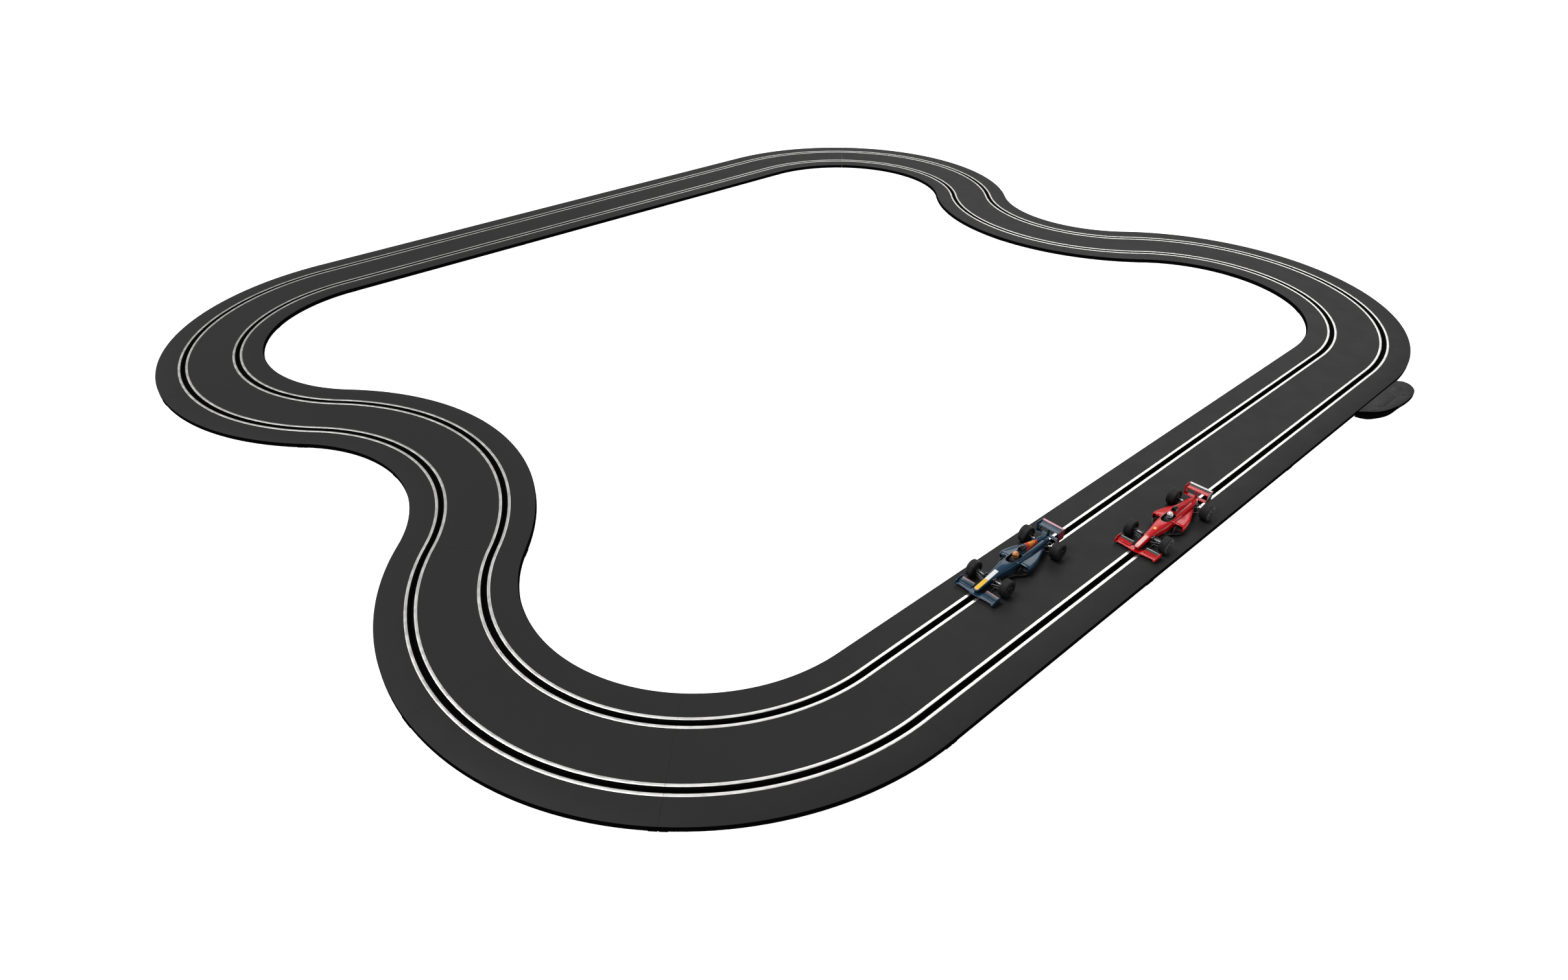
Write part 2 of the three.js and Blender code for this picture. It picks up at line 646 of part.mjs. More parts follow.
// An axle with the hubs of its two wheels.
function axle(x, tyreWidth) {
  const end = CAR_HALF_WIDTH - 0.6;
  const inner = CAR_HALF_WIDTH - tyreWidth + 1;
  const half = [
    [HUB_RADIUS, inner],
    [HUB_RADIUS, end],
    [0, end],
  ];
  const other = half.map(([r, y]) => [r, -y]).reverse();
  const profile = [...other, [AXLE_RADIUS, -inner], [AXLE_RADIUS, inner], ...half];
  const turned = new THREE.LatheGeometry(profile.map(([r, y]) => new THREE.Vector2(r, y)), WHEEL_SIDES);
  return solid(turned.translate(x, 0, AXLE_Z));
}

function tyre(x, side, width) {
  const bore = HUB_RADIUS + GAP;
  const half = width / 2;
  const profile = [
    [bore, -half],
    [TYRE_RADIUS - 1, -half],
    [TYRE_RADIUS, -half + 1],
    [TYRE_RADIUS, half - 1],
    [TYRE_RADIUS - 1, half],
    [bore, half],
    [bore, -half],
  ];
  const ring = new THREE.LatheGeometry(profile.map(([r, y]) => new THREE.Vector2(r, y)), WHEEL_SIDES);
  return solid(ring.translate(x, side * (CAR_HALF_WIDTH - half), AXLE_Z));
}

// The guide: a blade in the slot, the plate that carries the braids, and the post it swivels on.
function guide() {
  const [front, back] = BLADE_ENDS;
  const { x, half, z } = BRAID_PLATE;
  return join(
    block([front, -BLADE_THICK / 2, -BLADE_DEPTH], [back, BLADE_THICK / 2, 1]),
    block([x[0], -half, z[0]], [x[1], half, z[1]]),
    post(0, 0, GUIDE_POST_RADIUS, 1, GUIDE_TOP),
    post(0, 0, GUIDE_POST_RADIUS + 1, FLOOR_TOP + GAP, GUIDE_TOP),
  );
}

// ---------------------------------------------------------------- assembly
const set = new THREE.Group();

function addPiece(group, name, made, material) {
  const mesh = new THREE.Mesh(geometryOf(made), material);
  mesh.name = name;
  group.add(mesh);
}

function addTrack() {
  const pieces = layOut();
  const counts = { straight: 0, curve: 0 };
  for (const piece of pieces) {
    const kind = piece.turn ? "curve" : "straight";
    counts[kind] += 1;
    addPiece(set, `track_${kind}_${counts[kind]}`, trackPiece(piece), plastic(TRACK_GREY, 0.6));
  }
  const sides = Object.entries({ outer: -1, inner: 1 });
  for (const [lane, side] of sides)
    for (const [edge, step] of sides) {
      const offset = side * LANE_OFFSET + step * RAIL_OFFSET;
      addPiece(set, `${lane}_lane_${edge}_rail`, rail(pieces, offset), metal(RAIL_STEEL, 0.3));
    }
}

function addPowerBase() {
  addPiece(set, "power_base_shell", baseHousing(), plastic(BASE_GREY));
  addPiece(set, "power_base_plate", basePlate(), plastic(BLACK_PLASTIC));
  addPiece(set, "power_circuit_board", circuitBoard(), plastic(BOARD_GREEN, 0.5));
  addPiece(set, "power_socket_strip", socketStrip(), plastic(BLACK_PLASTIC));
}

function addCar({ name, guideX, lane, paint, helmet }) {
  const car = new THREE.Group();
  car.position.set(guideX, lane * LANE_OFFSET, TRACK_HEIGHT);
  set.add(car);
  const add = (part, made, material) => addPiece(car, `${name}_${part}`, made, material);
  add("guide", guide(), plastic(BLACK_PLASTIC));
  add("chassis", chassis(), plastic(BLACK_PLASTIC));
  add("body_shell", bodyShell(), plastic(paint, 0.25));
  add("front_wing", frontWing(), plastic(paint, 0.3));
  add("rear_wing", rearWing(), plastic(paint, 0.3));
  add("driver", driver(), plastic(helmet, 0.3));
  add("motor", motor(), metal(MOTOR_STEEL));
  add("motor_pinion", pinion(), metal(BRASS));
  add("crown_gear", crownGear(), plastic(CROWN_NYLON, 0.5));
  add("front_axle", axle(FRONT_AXLE_X, FRONT_TYRE_WIDTH), metal(AXLE_STEEL));
  add("rear_axle", axle(REAR_AXLE_X, REAR_TYRE_WIDTH), metal(AXLE_STEEL));
  for (const [hand, side] of Object.entries({ left: -1, right: 1 })) {
    add(`front_${hand}_tyre`, tyre(FRONT_AXLE_X, side, FRONT_TYRE_WIDTH), plastic(TYRE_BLACK, 0.85));
    add(`rear_${hand}_tyre`, tyre(REAR_AXLE_X, side, REAR_TYRE_WIDTH), plastic(TYRE_BLACK, 0.85));
  }
}

addTrack();
addPowerBase();
CARS.forEach(addCar);

const extent = new THREE.Box3().setFromObject(set);
const middle = extent.getCenter(new THREE.Vector3());
set.position.set(-middle.x, -middle.y, -extent.min.z);

export default set;
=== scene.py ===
"""The looks of a two-lane slot car set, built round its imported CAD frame. Metres, +Z up."""

import math

import bmesh
import bpy
from mathutils import Matrix, Vector


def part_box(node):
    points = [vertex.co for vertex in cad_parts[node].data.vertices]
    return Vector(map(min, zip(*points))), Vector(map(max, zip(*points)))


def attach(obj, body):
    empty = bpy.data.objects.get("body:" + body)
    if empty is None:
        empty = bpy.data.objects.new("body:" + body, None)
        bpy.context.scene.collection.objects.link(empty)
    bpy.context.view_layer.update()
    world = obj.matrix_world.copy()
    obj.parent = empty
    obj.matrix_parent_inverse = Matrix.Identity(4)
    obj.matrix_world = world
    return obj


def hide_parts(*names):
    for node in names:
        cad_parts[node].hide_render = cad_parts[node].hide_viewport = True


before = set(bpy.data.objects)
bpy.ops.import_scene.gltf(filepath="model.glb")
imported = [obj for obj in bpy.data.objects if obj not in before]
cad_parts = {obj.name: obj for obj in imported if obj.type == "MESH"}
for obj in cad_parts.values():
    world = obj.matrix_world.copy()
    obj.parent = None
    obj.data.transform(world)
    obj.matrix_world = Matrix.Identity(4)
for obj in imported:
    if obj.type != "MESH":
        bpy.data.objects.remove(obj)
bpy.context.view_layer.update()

# ---------------------------------------------------------------- sizes, in millimetres
MM = 0.001
STRAIGHT = 350
CURVE_RADIUS = 294
CURVE_ANGLE = math.pi / 4
LAP = "SSSLLLRRLLLSSSLLLRRLLL"
JOINT_GAP = 0.12
CURVE_STEPS = 24
HALF_WIDTH = 77.6
CLIP_FACE = 78
HEIGHT = 6.5
DECK_UNDER = 3.9
SKIRT_INNER = 75.8
RIB_BAYS = [(-SKIRT_INNER, -48.2), (-29.8, 29.8), (48.2, SKIRT_INNER)]
TONGUE = (52, 64)
LANE_OFFSET = 39
RAIL_OFFSET = 5.4
RAIL_HALF = 1.75
RAIL_PROUD = 0.1
GROOVE_SLACK = 0.08
TONGUE_REACH = 8

first_low, first_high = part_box("track_straight_1")
LAP_START = Vector((first_low.x + TONGUE_REACH * MM, (first_low.y + first_high.y) / 2, first_low.z))
LANE_SIDES = {"outer": -1, "inner": 1}


# ---------------------------------------------------------------- materials
def new_material(name, colour, roughness, metallic=0.0):
    material = bpy.data.materials.new(name)
    material.use_nodes = True
    shader = material.node_tree.nodes["Principled BSDF"]
    shader.inputs["Base Color"].default_value = (*colour, 1)
    shader.inputs["Roughness"].default_value = roughness
    shader.inputs["Metallic"].default_value = metallic
    material.diffuse_color = (*colour, 1)
    return material


def node(material, kind, **values):
    made = material.node_tree.nodes.new(kind)
    for key, value in values.items():
        setattr(made, key, value)
    return made


def link(material, source, target):
    material.node_tree.links.new(source, target)


def shader_of(material):
    return material.node_tree.nodes["Principled BSDF"]


def feed(material, name, value):
    """Sets one of the shader's sockets to a number, or links another node's output to it."""
    socket = shader_of(material).inputs[name]
    if isinstance(value, (int, float)):
        socket.default_value = value
    else:
        link(material, value, socket)


def place(material, origin=(0, 0, 0), stretch=(1, 1, 1)):
    """The surface point, measured from an origin and stretched along each axis."""
    coordinates = node(material, "ShaderNodeTexCoord")
    mapping = node(material, "ShaderNodeMapping")
    mapping.inputs["Location"].default_value = [-o * s for o, s in zip(origin, stretch)]
    mapping.inputs["Scale"].default_value = stretch
    link(material, coordinates.outputs["Object"], mapping.inputs["Vector"])
    return mapping.outputs["Vector"]


def noise(material, vector, scale, detail=3.0, roughness=0.55):
    made = node(material, "ShaderNodeTexNoise")
    made.inputs["Scale"].default_value = scale
    made.inputs["Detail"].default_value = detail
    made.inputs["Roughness"].default_value = roughness
    link(material, vector, made.inputs["Vector"])
    return made.outputs["Fac"]


def ranged(material, value, low, high, out_low=0.0, out_high=1.0):
    made = node(material, "ShaderNodeMapRange", interpolation_type="SMOOTHSTEP")
    for key, number in (("From Min", low), ("From Max", high), ("To Min", out_low), ("To Max", out_high)):
        made.inputs[key].default_value = number
    link(material, value, made.inputs["Value"])
    return made.outputs["Result"]


def mixed(material, share, first, second):
    """Colour first where share is 0 and second where it is 1. Each is a colour or a socket."""
    made = node(material, "ShaderNodeMix", data_type="RGBA")
    link(material, share, made.inputs["Factor"])
    for key, colour in (("A", first), ("B", second)):
        socket = [s for s in made.inputs if s.name == key and s.type == "RGBA"][0]
        if isinstance(colour, tuple):
            socket.default_value = (*colour, 1)
        else:
            link(material, colour, socket)
    return [s for s in made.outputs if s.type == "RGBA"][0]


def product(material, *values):
    result = values[0]
    for value in values[1:]:
        made = node(material, "ShaderNodeMath", operation="MULTIPLY")
        link(material, result, made.inputs[0])
        link(material, value, made.inputs[1])
        result = made.outputs[0]
    return result


def bump(material, height, strength, distance):
    made = node(material, "ShaderNodeBump")
    made.inputs["Strength"].default_value = strength
    made.inputs["Distance"].default_value = distance
    link(material, height, made.inputs["Height"])
    feed(material, "Normal", made.outputs["Normal"])


def scaled(colour, factor):
    return tuple(min(1.0, c * factor) for c in colour)


def moulded(name, colour, roughness, grain=0.25, grain_scale=1800, spread=0.12, coat=0.0, gloss=0.5):
    """Moulded plastic: a fine grain, and slightly uneven colour and gloss."""
    material = new_material(name, colour, roughness)
    vector = place(material)
    cloud = noise(material, vector, 45, 4)
    tint = mixed(material, cloud, scaled(colour, 1 - spread), scaled(colour, 1 + spread))
    feed(material, "Base Color", tint)
    rough = ranged(material, noise(material, vector, 160), 0.3, 0.7, roughness - 0.06, roughness + 0.06)
    feed(material, "Roughness", rough)
    bump(material, noise(material, vector, grain_scale, 2), grain, 0.00006)
    feed(material, "Specular IOR Level", gloss)
    feed(material, "Coat Weight", coat)
    feed(material, "Coat Roughness", 0.08)
    return material


def road_material():
    """The road: dark grey plastic with a stippled surface, pale scuffs and a faint dusting."""
    colour = (0.0193, 0.0193, 0.0191)
    material = new_material("road_plastic", colour, 0.56)
    vector = place(material)
    cloud = noise(material, vector, 6, 4, 0.5)
    tint = mixed(material, ranged(material, cloud, 0.3, 0.7), scaled(colour, 0.98), scaled(colour, 1.03))
    stipple = noise(material, vector, 950, 2)
    speckled = mixed(material, ranged(material, stipple, 0.58, 0.72), tint, scaled(colour, 1.3))
    scuffs = noise(material, place(material, stretch=(3, 60, 60)), 5, 6, 0.65)
    worn = mixed(material, ranged(material, scuffs, 0.68, 0.85, 0, 0.1), speckled, (0.07, 0.07, 0.07))
    feed(material, "Base Color", worn)
    rough = ranged(material, noise(material, vector, 30, 4), 0.3, 0.7, 0.54, 0.6)
    feed(material, "Roughness", rough)
    bump(material, stipple, 0.35, 0.00012)
    feed(material, "Specular IOR Level", 0.12)
    return material


def metal_material(name, colour, roughness, stretch=(400, 400, 400), strength=0.1):
    """Metal with a drawn or turned grain."""
    material = new_material(name, colour, roughness, 1.0)
    streaks = noise(material, place(material, stretch=stretch), 1, 4, 0.6)
    tint = mixed(material, streaks, scaled(colour, 0.9), scaled(colour, 1.05))
    feed(material, "Base Color", tint)
    rough = ranged(material, streaks, 0.3, 0.7, roughness - 0.05, roughness + 0.07)
    feed(material, "Roughness", rough)
    bump(material, streaks, strength, 0.00003)
    return material


def rubber_material():
    material = new_material("tyre_rubber", (0.012, 0.012, 0.0125), 0.72)
    vector = place(material)
    dust = ranged(material, noise(material, vector, 260, 5, 0.65), 0.45, 0.75)
    feed(material, "Specular IOR Level", 0.25)
    feed(material, "Base Color", mixed(material, dust, (0.009, 0.009, 0.0093), (0.019, 0.0188, 0.0184)))
    feed(material, "Roughness", ranged(material, dust, 0, 1, 0.62, 0.85))
    bump(material, noise(material, vector, 2600, 3), 0.3, 0.00005)
    return material


def board_material():
    """The green circuit board, with a plain grid of copper tracks."""
    material = new_material("board_lacquer", (0.012, 0.09, 0.03), 0.35)
    vector = place(material)
    wave = node(material, "ShaderNodeTexWave", bands_direction="DIAGONAL")
    wave.inputs["Scale"].default_value = 130
    wave.inputs["Distortion"].default_value = 3
    link(material, vector, wave.inputs["Vector"])
    lines = ranged(material, wave.outputs["Fac"], 0.8, 0.86)
    feed(material, "Base Color", mixed(material, lines, (0.012, 0.09, 0.03), (0.03, 0.17, 0.06)))
    bump(material, lines, 0.4, 0.00003)
    return material


def paint(name, base, origin, patches, roughness=0.22):
    """Glossy car paint.

    Each patch is (colour, x range, half width, z range, softness), in mm from the guide.
    """
    material = new_material(name, base, roughness)
    vector = place(material, origin, (1 / MM, 1 / MM, 1 / MM))
    split = node(material, "ShaderNodeSeparateXYZ")
    link(material, vector, split.inputs[0])
    across = node(material, "ShaderNodeMath", operation="ABSOLUTE")
    link(material, split.outputs["Y"], across.inputs[0])
    cloud = noise(material, vector, 0.12, 3)
    colour = mixed(material, cloud, scaled(base, 0.9), scaled(base, 1.12))
    for tint, (x0, x1), half, (z0, z1), soft in patches:
        mask = product(
            material,
            ranged(material, split.outputs["X"], x0 - soft, x0 + soft),
            ranged(material, split.outputs["X"], x1 - soft, x1 + soft, 1, 0),
            ranged(material, across.outputs[0], half - 0.15, half + 0.15, 1, 0),
            ranged(material, split.outputs["Z"], z0 - 0.15, z0 + 0.15),
            ranged(material, split.outputs["Z"], z1 - 0.15, z1 + 0.15, 1, 0),
        )
        colour = mixed(material, mask, colour, tint)
    feed(material, "Base Color", colour)
    rough = ranged(material, noise(material, vector, 0.6, 3), 0.3, 0.7, roughness - 0.05, roughness + 0.06)
    feed(material, "Roughness", rough)
    bump(material, noise(material, vector, 1.6, 2), 0.04, 0.00004)
    feed(material, "Specular IOR Level", 0.18)
    feed(material, "Coat Weight", 0.35)
    feed(material, "Coat Roughness", 0.05)
    return material


ROAD = road_material()
# The slot's walls, and the lips between its rails, are near-black with almost no gloss: painted shade, darker
# than the track's own plastic.
SLOT_PAINTED_SHADE = moulded("slot_painted_shade", (0.002, 0.002, 0.002), 0.8, gloss=0.02)
# The side faces of the track pieces and of the power base are near-black with no gloss: painted shade, darker
# than their own plastic.
EDGE_PAINTED_SHADE = moulded("edge_painted_shade", (0.0016, 0.0016, 0.0016), 0.8, gloss=0.0)
UNDERSIDE = moulded("underside_plastic", (0.03, 0.03, 0.031), 0.6)
RAIL_METAL = metal_material("rail_metal", (0.84, 0.83, 0.8), 0.36, (90, 90, 900), 0.03)
BASE_GREY = moulded("power_base_plastic", (0.017, 0.017, 0.0173), 0.5, 0.4, 1300, gloss=0.16)
BLACK = moulded("black_plastic", (0.012, 0.012, 0.0125), 0.45)
BOARD = board_material()
RUBBER = rubber_material()
STEEL = metal_material("axle_metal", (0.36, 0.36, 0.37), 0.32)
CAN_STEEL = metal_material("motor_can_metal", (0.62, 0.63, 0.65), 0.3)
RIM_BLACK = moulded("rim_black", (0.018, 0.018, 0.019), 0.35, 0.15)
BRASS = metal_material("brass_metal", (0.72, 0.5, 0.2), 0.28)
COPPER = metal_material("braid_copper", (0.75, 0.36, 0.2), 0.35, (2500, 2500, 2500), 0.6)
SUIT_BLACK = moulded("driver_suit", (0.02, 0.02, 0.022), 0.6)
NYLON = moulded("gear_nylon", (0.72, 0.69, 0.6), 0.4)
DARK_GLASS = moulded("visor_dark", (0.01, 0.01, 0.012), 0.12, 0.03, 900, 0.3, coat=0.6)


# ---------------------------------------------------------------- building pieces
class Shape:
    """The closed bodies of one piece, in millimetres from an origin."""

    def __init__(self):
        self.verts = []
        self.faces = []
        self.zones = []

    def add(self, verts, faces, zones=0):
        start = len(self.verts)
        self.verts += [tuple(v) for v in verts]
        self.faces += [[start + i for i in face] for face in faces]
        self.zones += [zones] * len(faces) if isinstance(zones, int) else list(zones)

    def loft(self, rings, zone=0, side_zones=None, closed=False):
        """Skins rings of equal length. side_zones gives a zone for each side of a ring."""
        count = len(rings[0])
        verts = [point for ring in rings for point in ring]
        faces = []
        zones = []
        spans = len(rings) if closed else len(rings) - 1
        for row in range(spans):
            after = (row + 1) % len(rings)
            for i in range(count):
                j = (i + 1) % count
                faces.append([row * count + i, row * count + j, after * count + j, after * count + i])
                zones.append(side_zones[i] if side_zones else zone)
        if not closed:
            faces.append(list(range(count))[::-1])
            faces.append([(len(rings) - 1) * count + i for i in range(count)])
            zones += [zone, zone]
        self.add(verts, faces, zones)

    def lathe(self, profile, origin, zone=0, segments=48, axis="y"):
        """Turns a profile of (radius, along) round an axis through origin.

        The profile is closed by its last side, or by the axis when it starts and ends there.
        """
        def turned(radius, along, k):
            a = radius * math.cos(2 * math.pi * k / segments)
            b = radius * math.sin(2 * math.pi * k / segments)
            offset = {"x": (along, a, b), "y": (a, along, b), "z": (a, b, along)}[axis]
            return tuple(o + d for o, d in zip(origin, offset))

        if profile[0][0] > 0:
            rings = [[turned(r, a, k) for r, a in profile] for k in range(segments)]
            self.loft(rings, zone, closed=True)
            return
        between = profile[1:-1]
        count = len(between)
        verts = [turned(*profile[0], 0), turned(*profile[-1], 0)]
        verts += [turned(r, a, k) for k in range(segments) for r, a in between]
        faces = []
        for k in range(segments):
            here = 2 + k * count
            after = 2 + (k + 1) % segments * count
            faces.append([0, here, after])
            faces += [[here + i, here + i + 1, after + i + 1, after + i] for i in range(count - 1)]
            faces.append([here + count - 1, 1, after + count - 1])
        self.add(verts, faces, zone)

    def box(self, low, high, zone=0, chamfer=0.0):
        """A box with its upright and level edges chamfered."""
        (x0, y0, z0), (x1, y1, z1) = low, high
        c = chamfer

        def level(inset, z):
            return [
                (x0 + inset + c, y0 + inset, z), (x1 - inset - c, y0 + inset, z),
                (x1 - inset, y0 + inset + c, z), (x1 - inset, y1 - inset - c, z),
                (x1 - inset - c, y1 - inset, z), (x0 + inset + c, y1 - inset, z),
                (x0 + inset, y1 - inset - c, z), (x0 + inset, y0 + inset + c, z),
            ]

        if not c:
            verts = [(x, y, z) for z in (z0, z1) for x, y in ((x0, y0), (x1, y0), (x1, y1), (x0, y1))]
            faces = [[3, 2, 1, 0], [4, 5, 6, 7], [0, 1, 5, 4], [1, 2, 6, 5], [2, 3, 7, 6], [3, 0, 4, 7]]
            self.add(verts, faces, zone)
            return
        self.loft([level(c, z0), level(0, z0 + c), level(0, z1 - c), level(c, z1)], zone)

    def tube(self, points, radius, zone=0, sides=10):
        """A round bar through points."""
        points = [Vector(p) for p in points]
        rings = []
        for i, point in enumerate(points):
            before, after = points[max(i - 1, 0)], points[min(i + 1, len(points) - 1)]
            ahead = (after - before).normalized()
            side = ahead.cross(Vector((0, 0, 1)))
            side = side.normalized() if side.length > 1e-4 else Vector((1, 0, 0))
            up = side.cross(ahead)
            rings.append([
                point + radius * (math.cos(a) * side + math.sin(a) * up)
                for a in (2 * math.pi * k / sides for k in range(sides))
            ])
        self.loft(rings, zone)

    def mesh(self, name):
        made = bpy.data.meshes.new(name)
        made.from_pydata(self.verts, [], self.faces)
        made.polygons.foreach_set("material_index", self.zones)
        tidy = bmesh.new()
        tidy.from_mesh(made)
        bmesh.ops.recalc_face_normals(tidy, faces=tidy.faces)
        tidy.to_mesh(made)
        tidy.free()
        return made


def show(name, mesh, origin, materials, body, slot, nodes=(), angle=32):
    """Puts a mesh made in millimetres in its place, hangs it on the body it rides on, and hides the parts it
    stands for.
    """
    mesh.transform(Matrix.Translation(origin) @ Matrix.Scale(MM, 4))
    zones = [face.material_index for face in mesh.polygons]
    mesh.materials.clear()
    for material in materials:
        mesh.materials.append(material)
    mesh.polygons.foreach_set("material_index", zones)
    mesh.polygons.foreach_set("use_smooth", [True] * len(mesh.polygons))
    mesh.set_sharp_from_angle(angle=math.radians(angle))
    mesh.name = name
    piece = bpy.data.objects.new(name, mesh)
    bpy.context.scene.collection.objects.link(piece)
    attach(piece, body)
    if nodes:
        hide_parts(*nodes)
    return piece


# ---------------------------------------------------------------- the lap
def along(piece, distance):
    x, y, heading, turn = piece["x"], piece["y"], piece["heading"], piece["turn"]
    if not turn:
        return x + distance * math.cos(heading), y + distance * math.sin(heading), heading
    after = heading + turn * distance / CURVE_RADIUS
    return (
        x + turn * CURVE_RADIUS * (math.sin(after) - math.sin(heading)),
        y + turn * CURVE_RADIUS * (math.cos(heading) - math.cos(after)),
        after,
    )


def lay_out():
    pieces = []
    x = y = heading = 0.0
    counts = {"straight": 0, "curve": 0}
    for letter in LAP:
        turn = {"S": 0, "L": 1, "R": -1}[letter]
        kind = "curve" if turn else "straight"
        counts[kind] += 1
        length = CURVE_RADIUS * CURVE_ANGLE if turn else STRAIGHT
        piece = {"name": f"track_{kind}_{counts[kind]}", "x": x, "y": y, "heading": heading, "turn": turn}
        piece["length"] = length
        piece["steps"] = CURVE_STEPS if turn else 6
        pieces.append(piece)
        x, y, heading = along(piece, length)
    return pieces


def placed(piece, distance, left, height):
    x, y, heading = along(piece, distance)
    return x - left * math.sin(heading), y + left * math.cos(heading), height


def swept(shape, piece, section, start, end, zones, steps=None):
    """Sweeps a section of (left, height) points along part of a lap piece."""
    steps = steps or piece["steps"]
    rings = []
    for step in range(steps + 1):
        distance = start + (end - start) * step / steps
        rings.append([placed(piece, distance, left, height) for left, height in section])
    shape.loft(rings, zones[0], zones)


# ---------------------------------------------------------------- track pieces
def road_section():
    """The closed section of a track piece, with a zone for each side: 0 road, 1 slot, 2 underside, 3 edge.
    The slot, with the lips between its rails, and the edge are near-black: painted shade.
    """
    groove_out = RAIL_OFFSET + RAIL_HALF + GROOVE_SLACK
    groove_in = RAIL_OFFSET - RAIL_HALF - GROOVE_SLACK
    half_slot = [
        (groove_out + 0.25, HEIGHT, 0),
        (groove_out, HEIGHT - 0.2, 1),
        (groove_out, HEIGHT - 1.2, 1),
        (groove_in, HEIGHT - 1.2, 1),
        (groove_in, HEIGHT - 0.35, 1),
        (groove_in - 0.5, HEIGHT - 0.5, 1),
        (1.7, HEIGHT - 1.8, 1),
        (1.55, HEIGHT - 2.2, 1),
        (1.55, HEIGHT - 5.1, 1),
    ]
    top = [(HALF_WIDTH - 1, HEIGHT, 0)]
    for centre in (LANE_OFFSET, -LANE_OFFSET):
        top += [(centre + x, z, max(zone, 1) if i else 1) for i, (x, z, zone) in enumerate(half_slot)]
        returning = [(centre - x, z, 1) for x, z, zone in reversed(half_slot)]
        returning[-1] = (returning[-1][0], returning[-1][1], 0)
        top += returning
    edge = [(HALF_WIDTH, 0.3, 3), (HALF_WIDTH, HEIGHT - 0.9, 3), (HALF_WIDTH - 0.3, HEIGHT - 0.25, 3)]
    far_edge = [(-x, z, zone) for x, z, zone in reversed(edge)]
    under = [
        (-HALF_WIDTH + 0.3, 0, 2),
        (-SKIRT_INNER, 0, 2),
        (-SKIRT_INNER, DECK_UNDER, 2),
    ]
    for centre in (-LANE_OFFSET, LANE_OFFSET):
        channel = [(9, DECK_UNDER), (8.6, DECK_UNDER - 0.5), (3.6, DECK_UNDER - 0.5), (3, 0)]
        under += [(centre - x, z, 2) for x, z in channel]
        under += [(centre + x, z, 2) for x, z in reversed(channel)]
    under += [(SKIRT_INNER, DECK_UNDER, 2), (SKIRT_INNER, 0, 2), (HALF_WIDTH - 0.3, 0, 3)]
    points = edge + top + [(-HALF_WIDTH + 1, HEIGHT, 0)] + far_edge + under
    return [(x, z) for x, z, _ in points], [zone for _, _, zone in points]


ROAD_SECTION, ROAD_ZONES = road_section()


def bar(shape, piece, start, end, left, right, low, high, zone, steps=2):
    section = [(left, low), (right, low), (right, high), (left, high)]
    swept(shape, piece, section, start, end, [zone] * 4, steps)


def track_piece(piece):
    shape = Shape()
    length = piece["length"]
    swept(shape, piece, ROAD_SECTION, JOINT_GAP / 2, length - JOINT_GAP / 2, ROAD_ZONES)
    # Stiffening ribs across the underside, between the skirts and the slot channels
    ribs = 6 if piece["turn"] else 8
    for k in range(1, ribs):
        middle = length * k / ribs
        for left, right in RIB_BAYS:
            bar(shape, piece, middle - 0.6, middle + 0.6, left, right, 1.6, DECK_UNDER + 0.2, 2, 1)
    # A tongue under each end, and the clips at the foot of the edge
    for at_end in (False, True):
        side = 1 if at_end else -1
        edge_at = length if at_end else 0
        reach, root = edge_at + side * 7.8, edge_at - side * 7
        left, right = (side * reach_out for reach_out in TONGUE)
        bar(shape, piece, min(reach, root), max(reach, root), min(left, right), max(left, right), 2, 3.4, 2)
        root_end = edge_at - side * 0.4
        bar(shape, piece, min(root, root_end), max(root, root_end), min(left, right), max(left, right),
            3.2, DECK_UNDER + 0.2, 2)
        # The clips take zone 3, the edge's near-black painted shade.
        for edge in (-1, 1):
            near, far = sorted((edge * (HALF_WIDTH - 0.5), edge * CLIP_FACE))
            start, end = sorted((edge_at - side * 0.5, edge_at - side * 7))
            bar(shape, piece, start, end, near, far, 0.1, 2.6, 3)
    mesh = shape.mesh(piece["name"])
    show(f"{piece['name']}_moulding", mesh, LAP_START, [ROAD, SLOT_PAINTED_SHADE, UNDERSIDE, EDGE_PAINTED_SHADE], "track",
         "track_plastic", [piece["name"]], 25)


def rail(pieces, lane, edge):
    """One conductor all round the lap: a rolled strip in every track piece."""
    shape = Shape()
    offset = LANE_SIDES[lane] * LANE_OFFSET + LANE_SIDES[edge] * RAIL_OFFSET
    top = HEIGHT + RAIL_PROUD
    section = [
        (-RAIL_HALF, top - 1.0), (-RAIL_HALF, top - 0.22), (-RAIL_HALF + 0.08, top - 0.08),
        (-RAIL_HALF + 0.3, top), (RAIL_HALF - 0.3, top), (RAIL_HALF - 0.08, top - 0.08),
        (RAIL_HALF, top - 0.22), (RAIL_HALF, top - 1.0),
    ]
    for piece in pieces:
        ring = [(offset + x, z) for x, z in section]
        swept(shape, piece, ring, JOINT_GAP, piece["length"] - JOINT_GAP, [0] * 8)
    name = f"{lane}_lane_{edge}_rail"
    show(f"{name}_strips", shape.mesh(name), LAP_START, [RAIL_METAL], "track", "rail_steel", [name], 25)


PIECES = lay_out()
for lap_piece in PIECES:
    track_piece(lap_piece)
for lane_name in LANE_SIDES:
    for edge_name in LANE_SIDES:
        rail(PIECES, lane_name, edge_name)


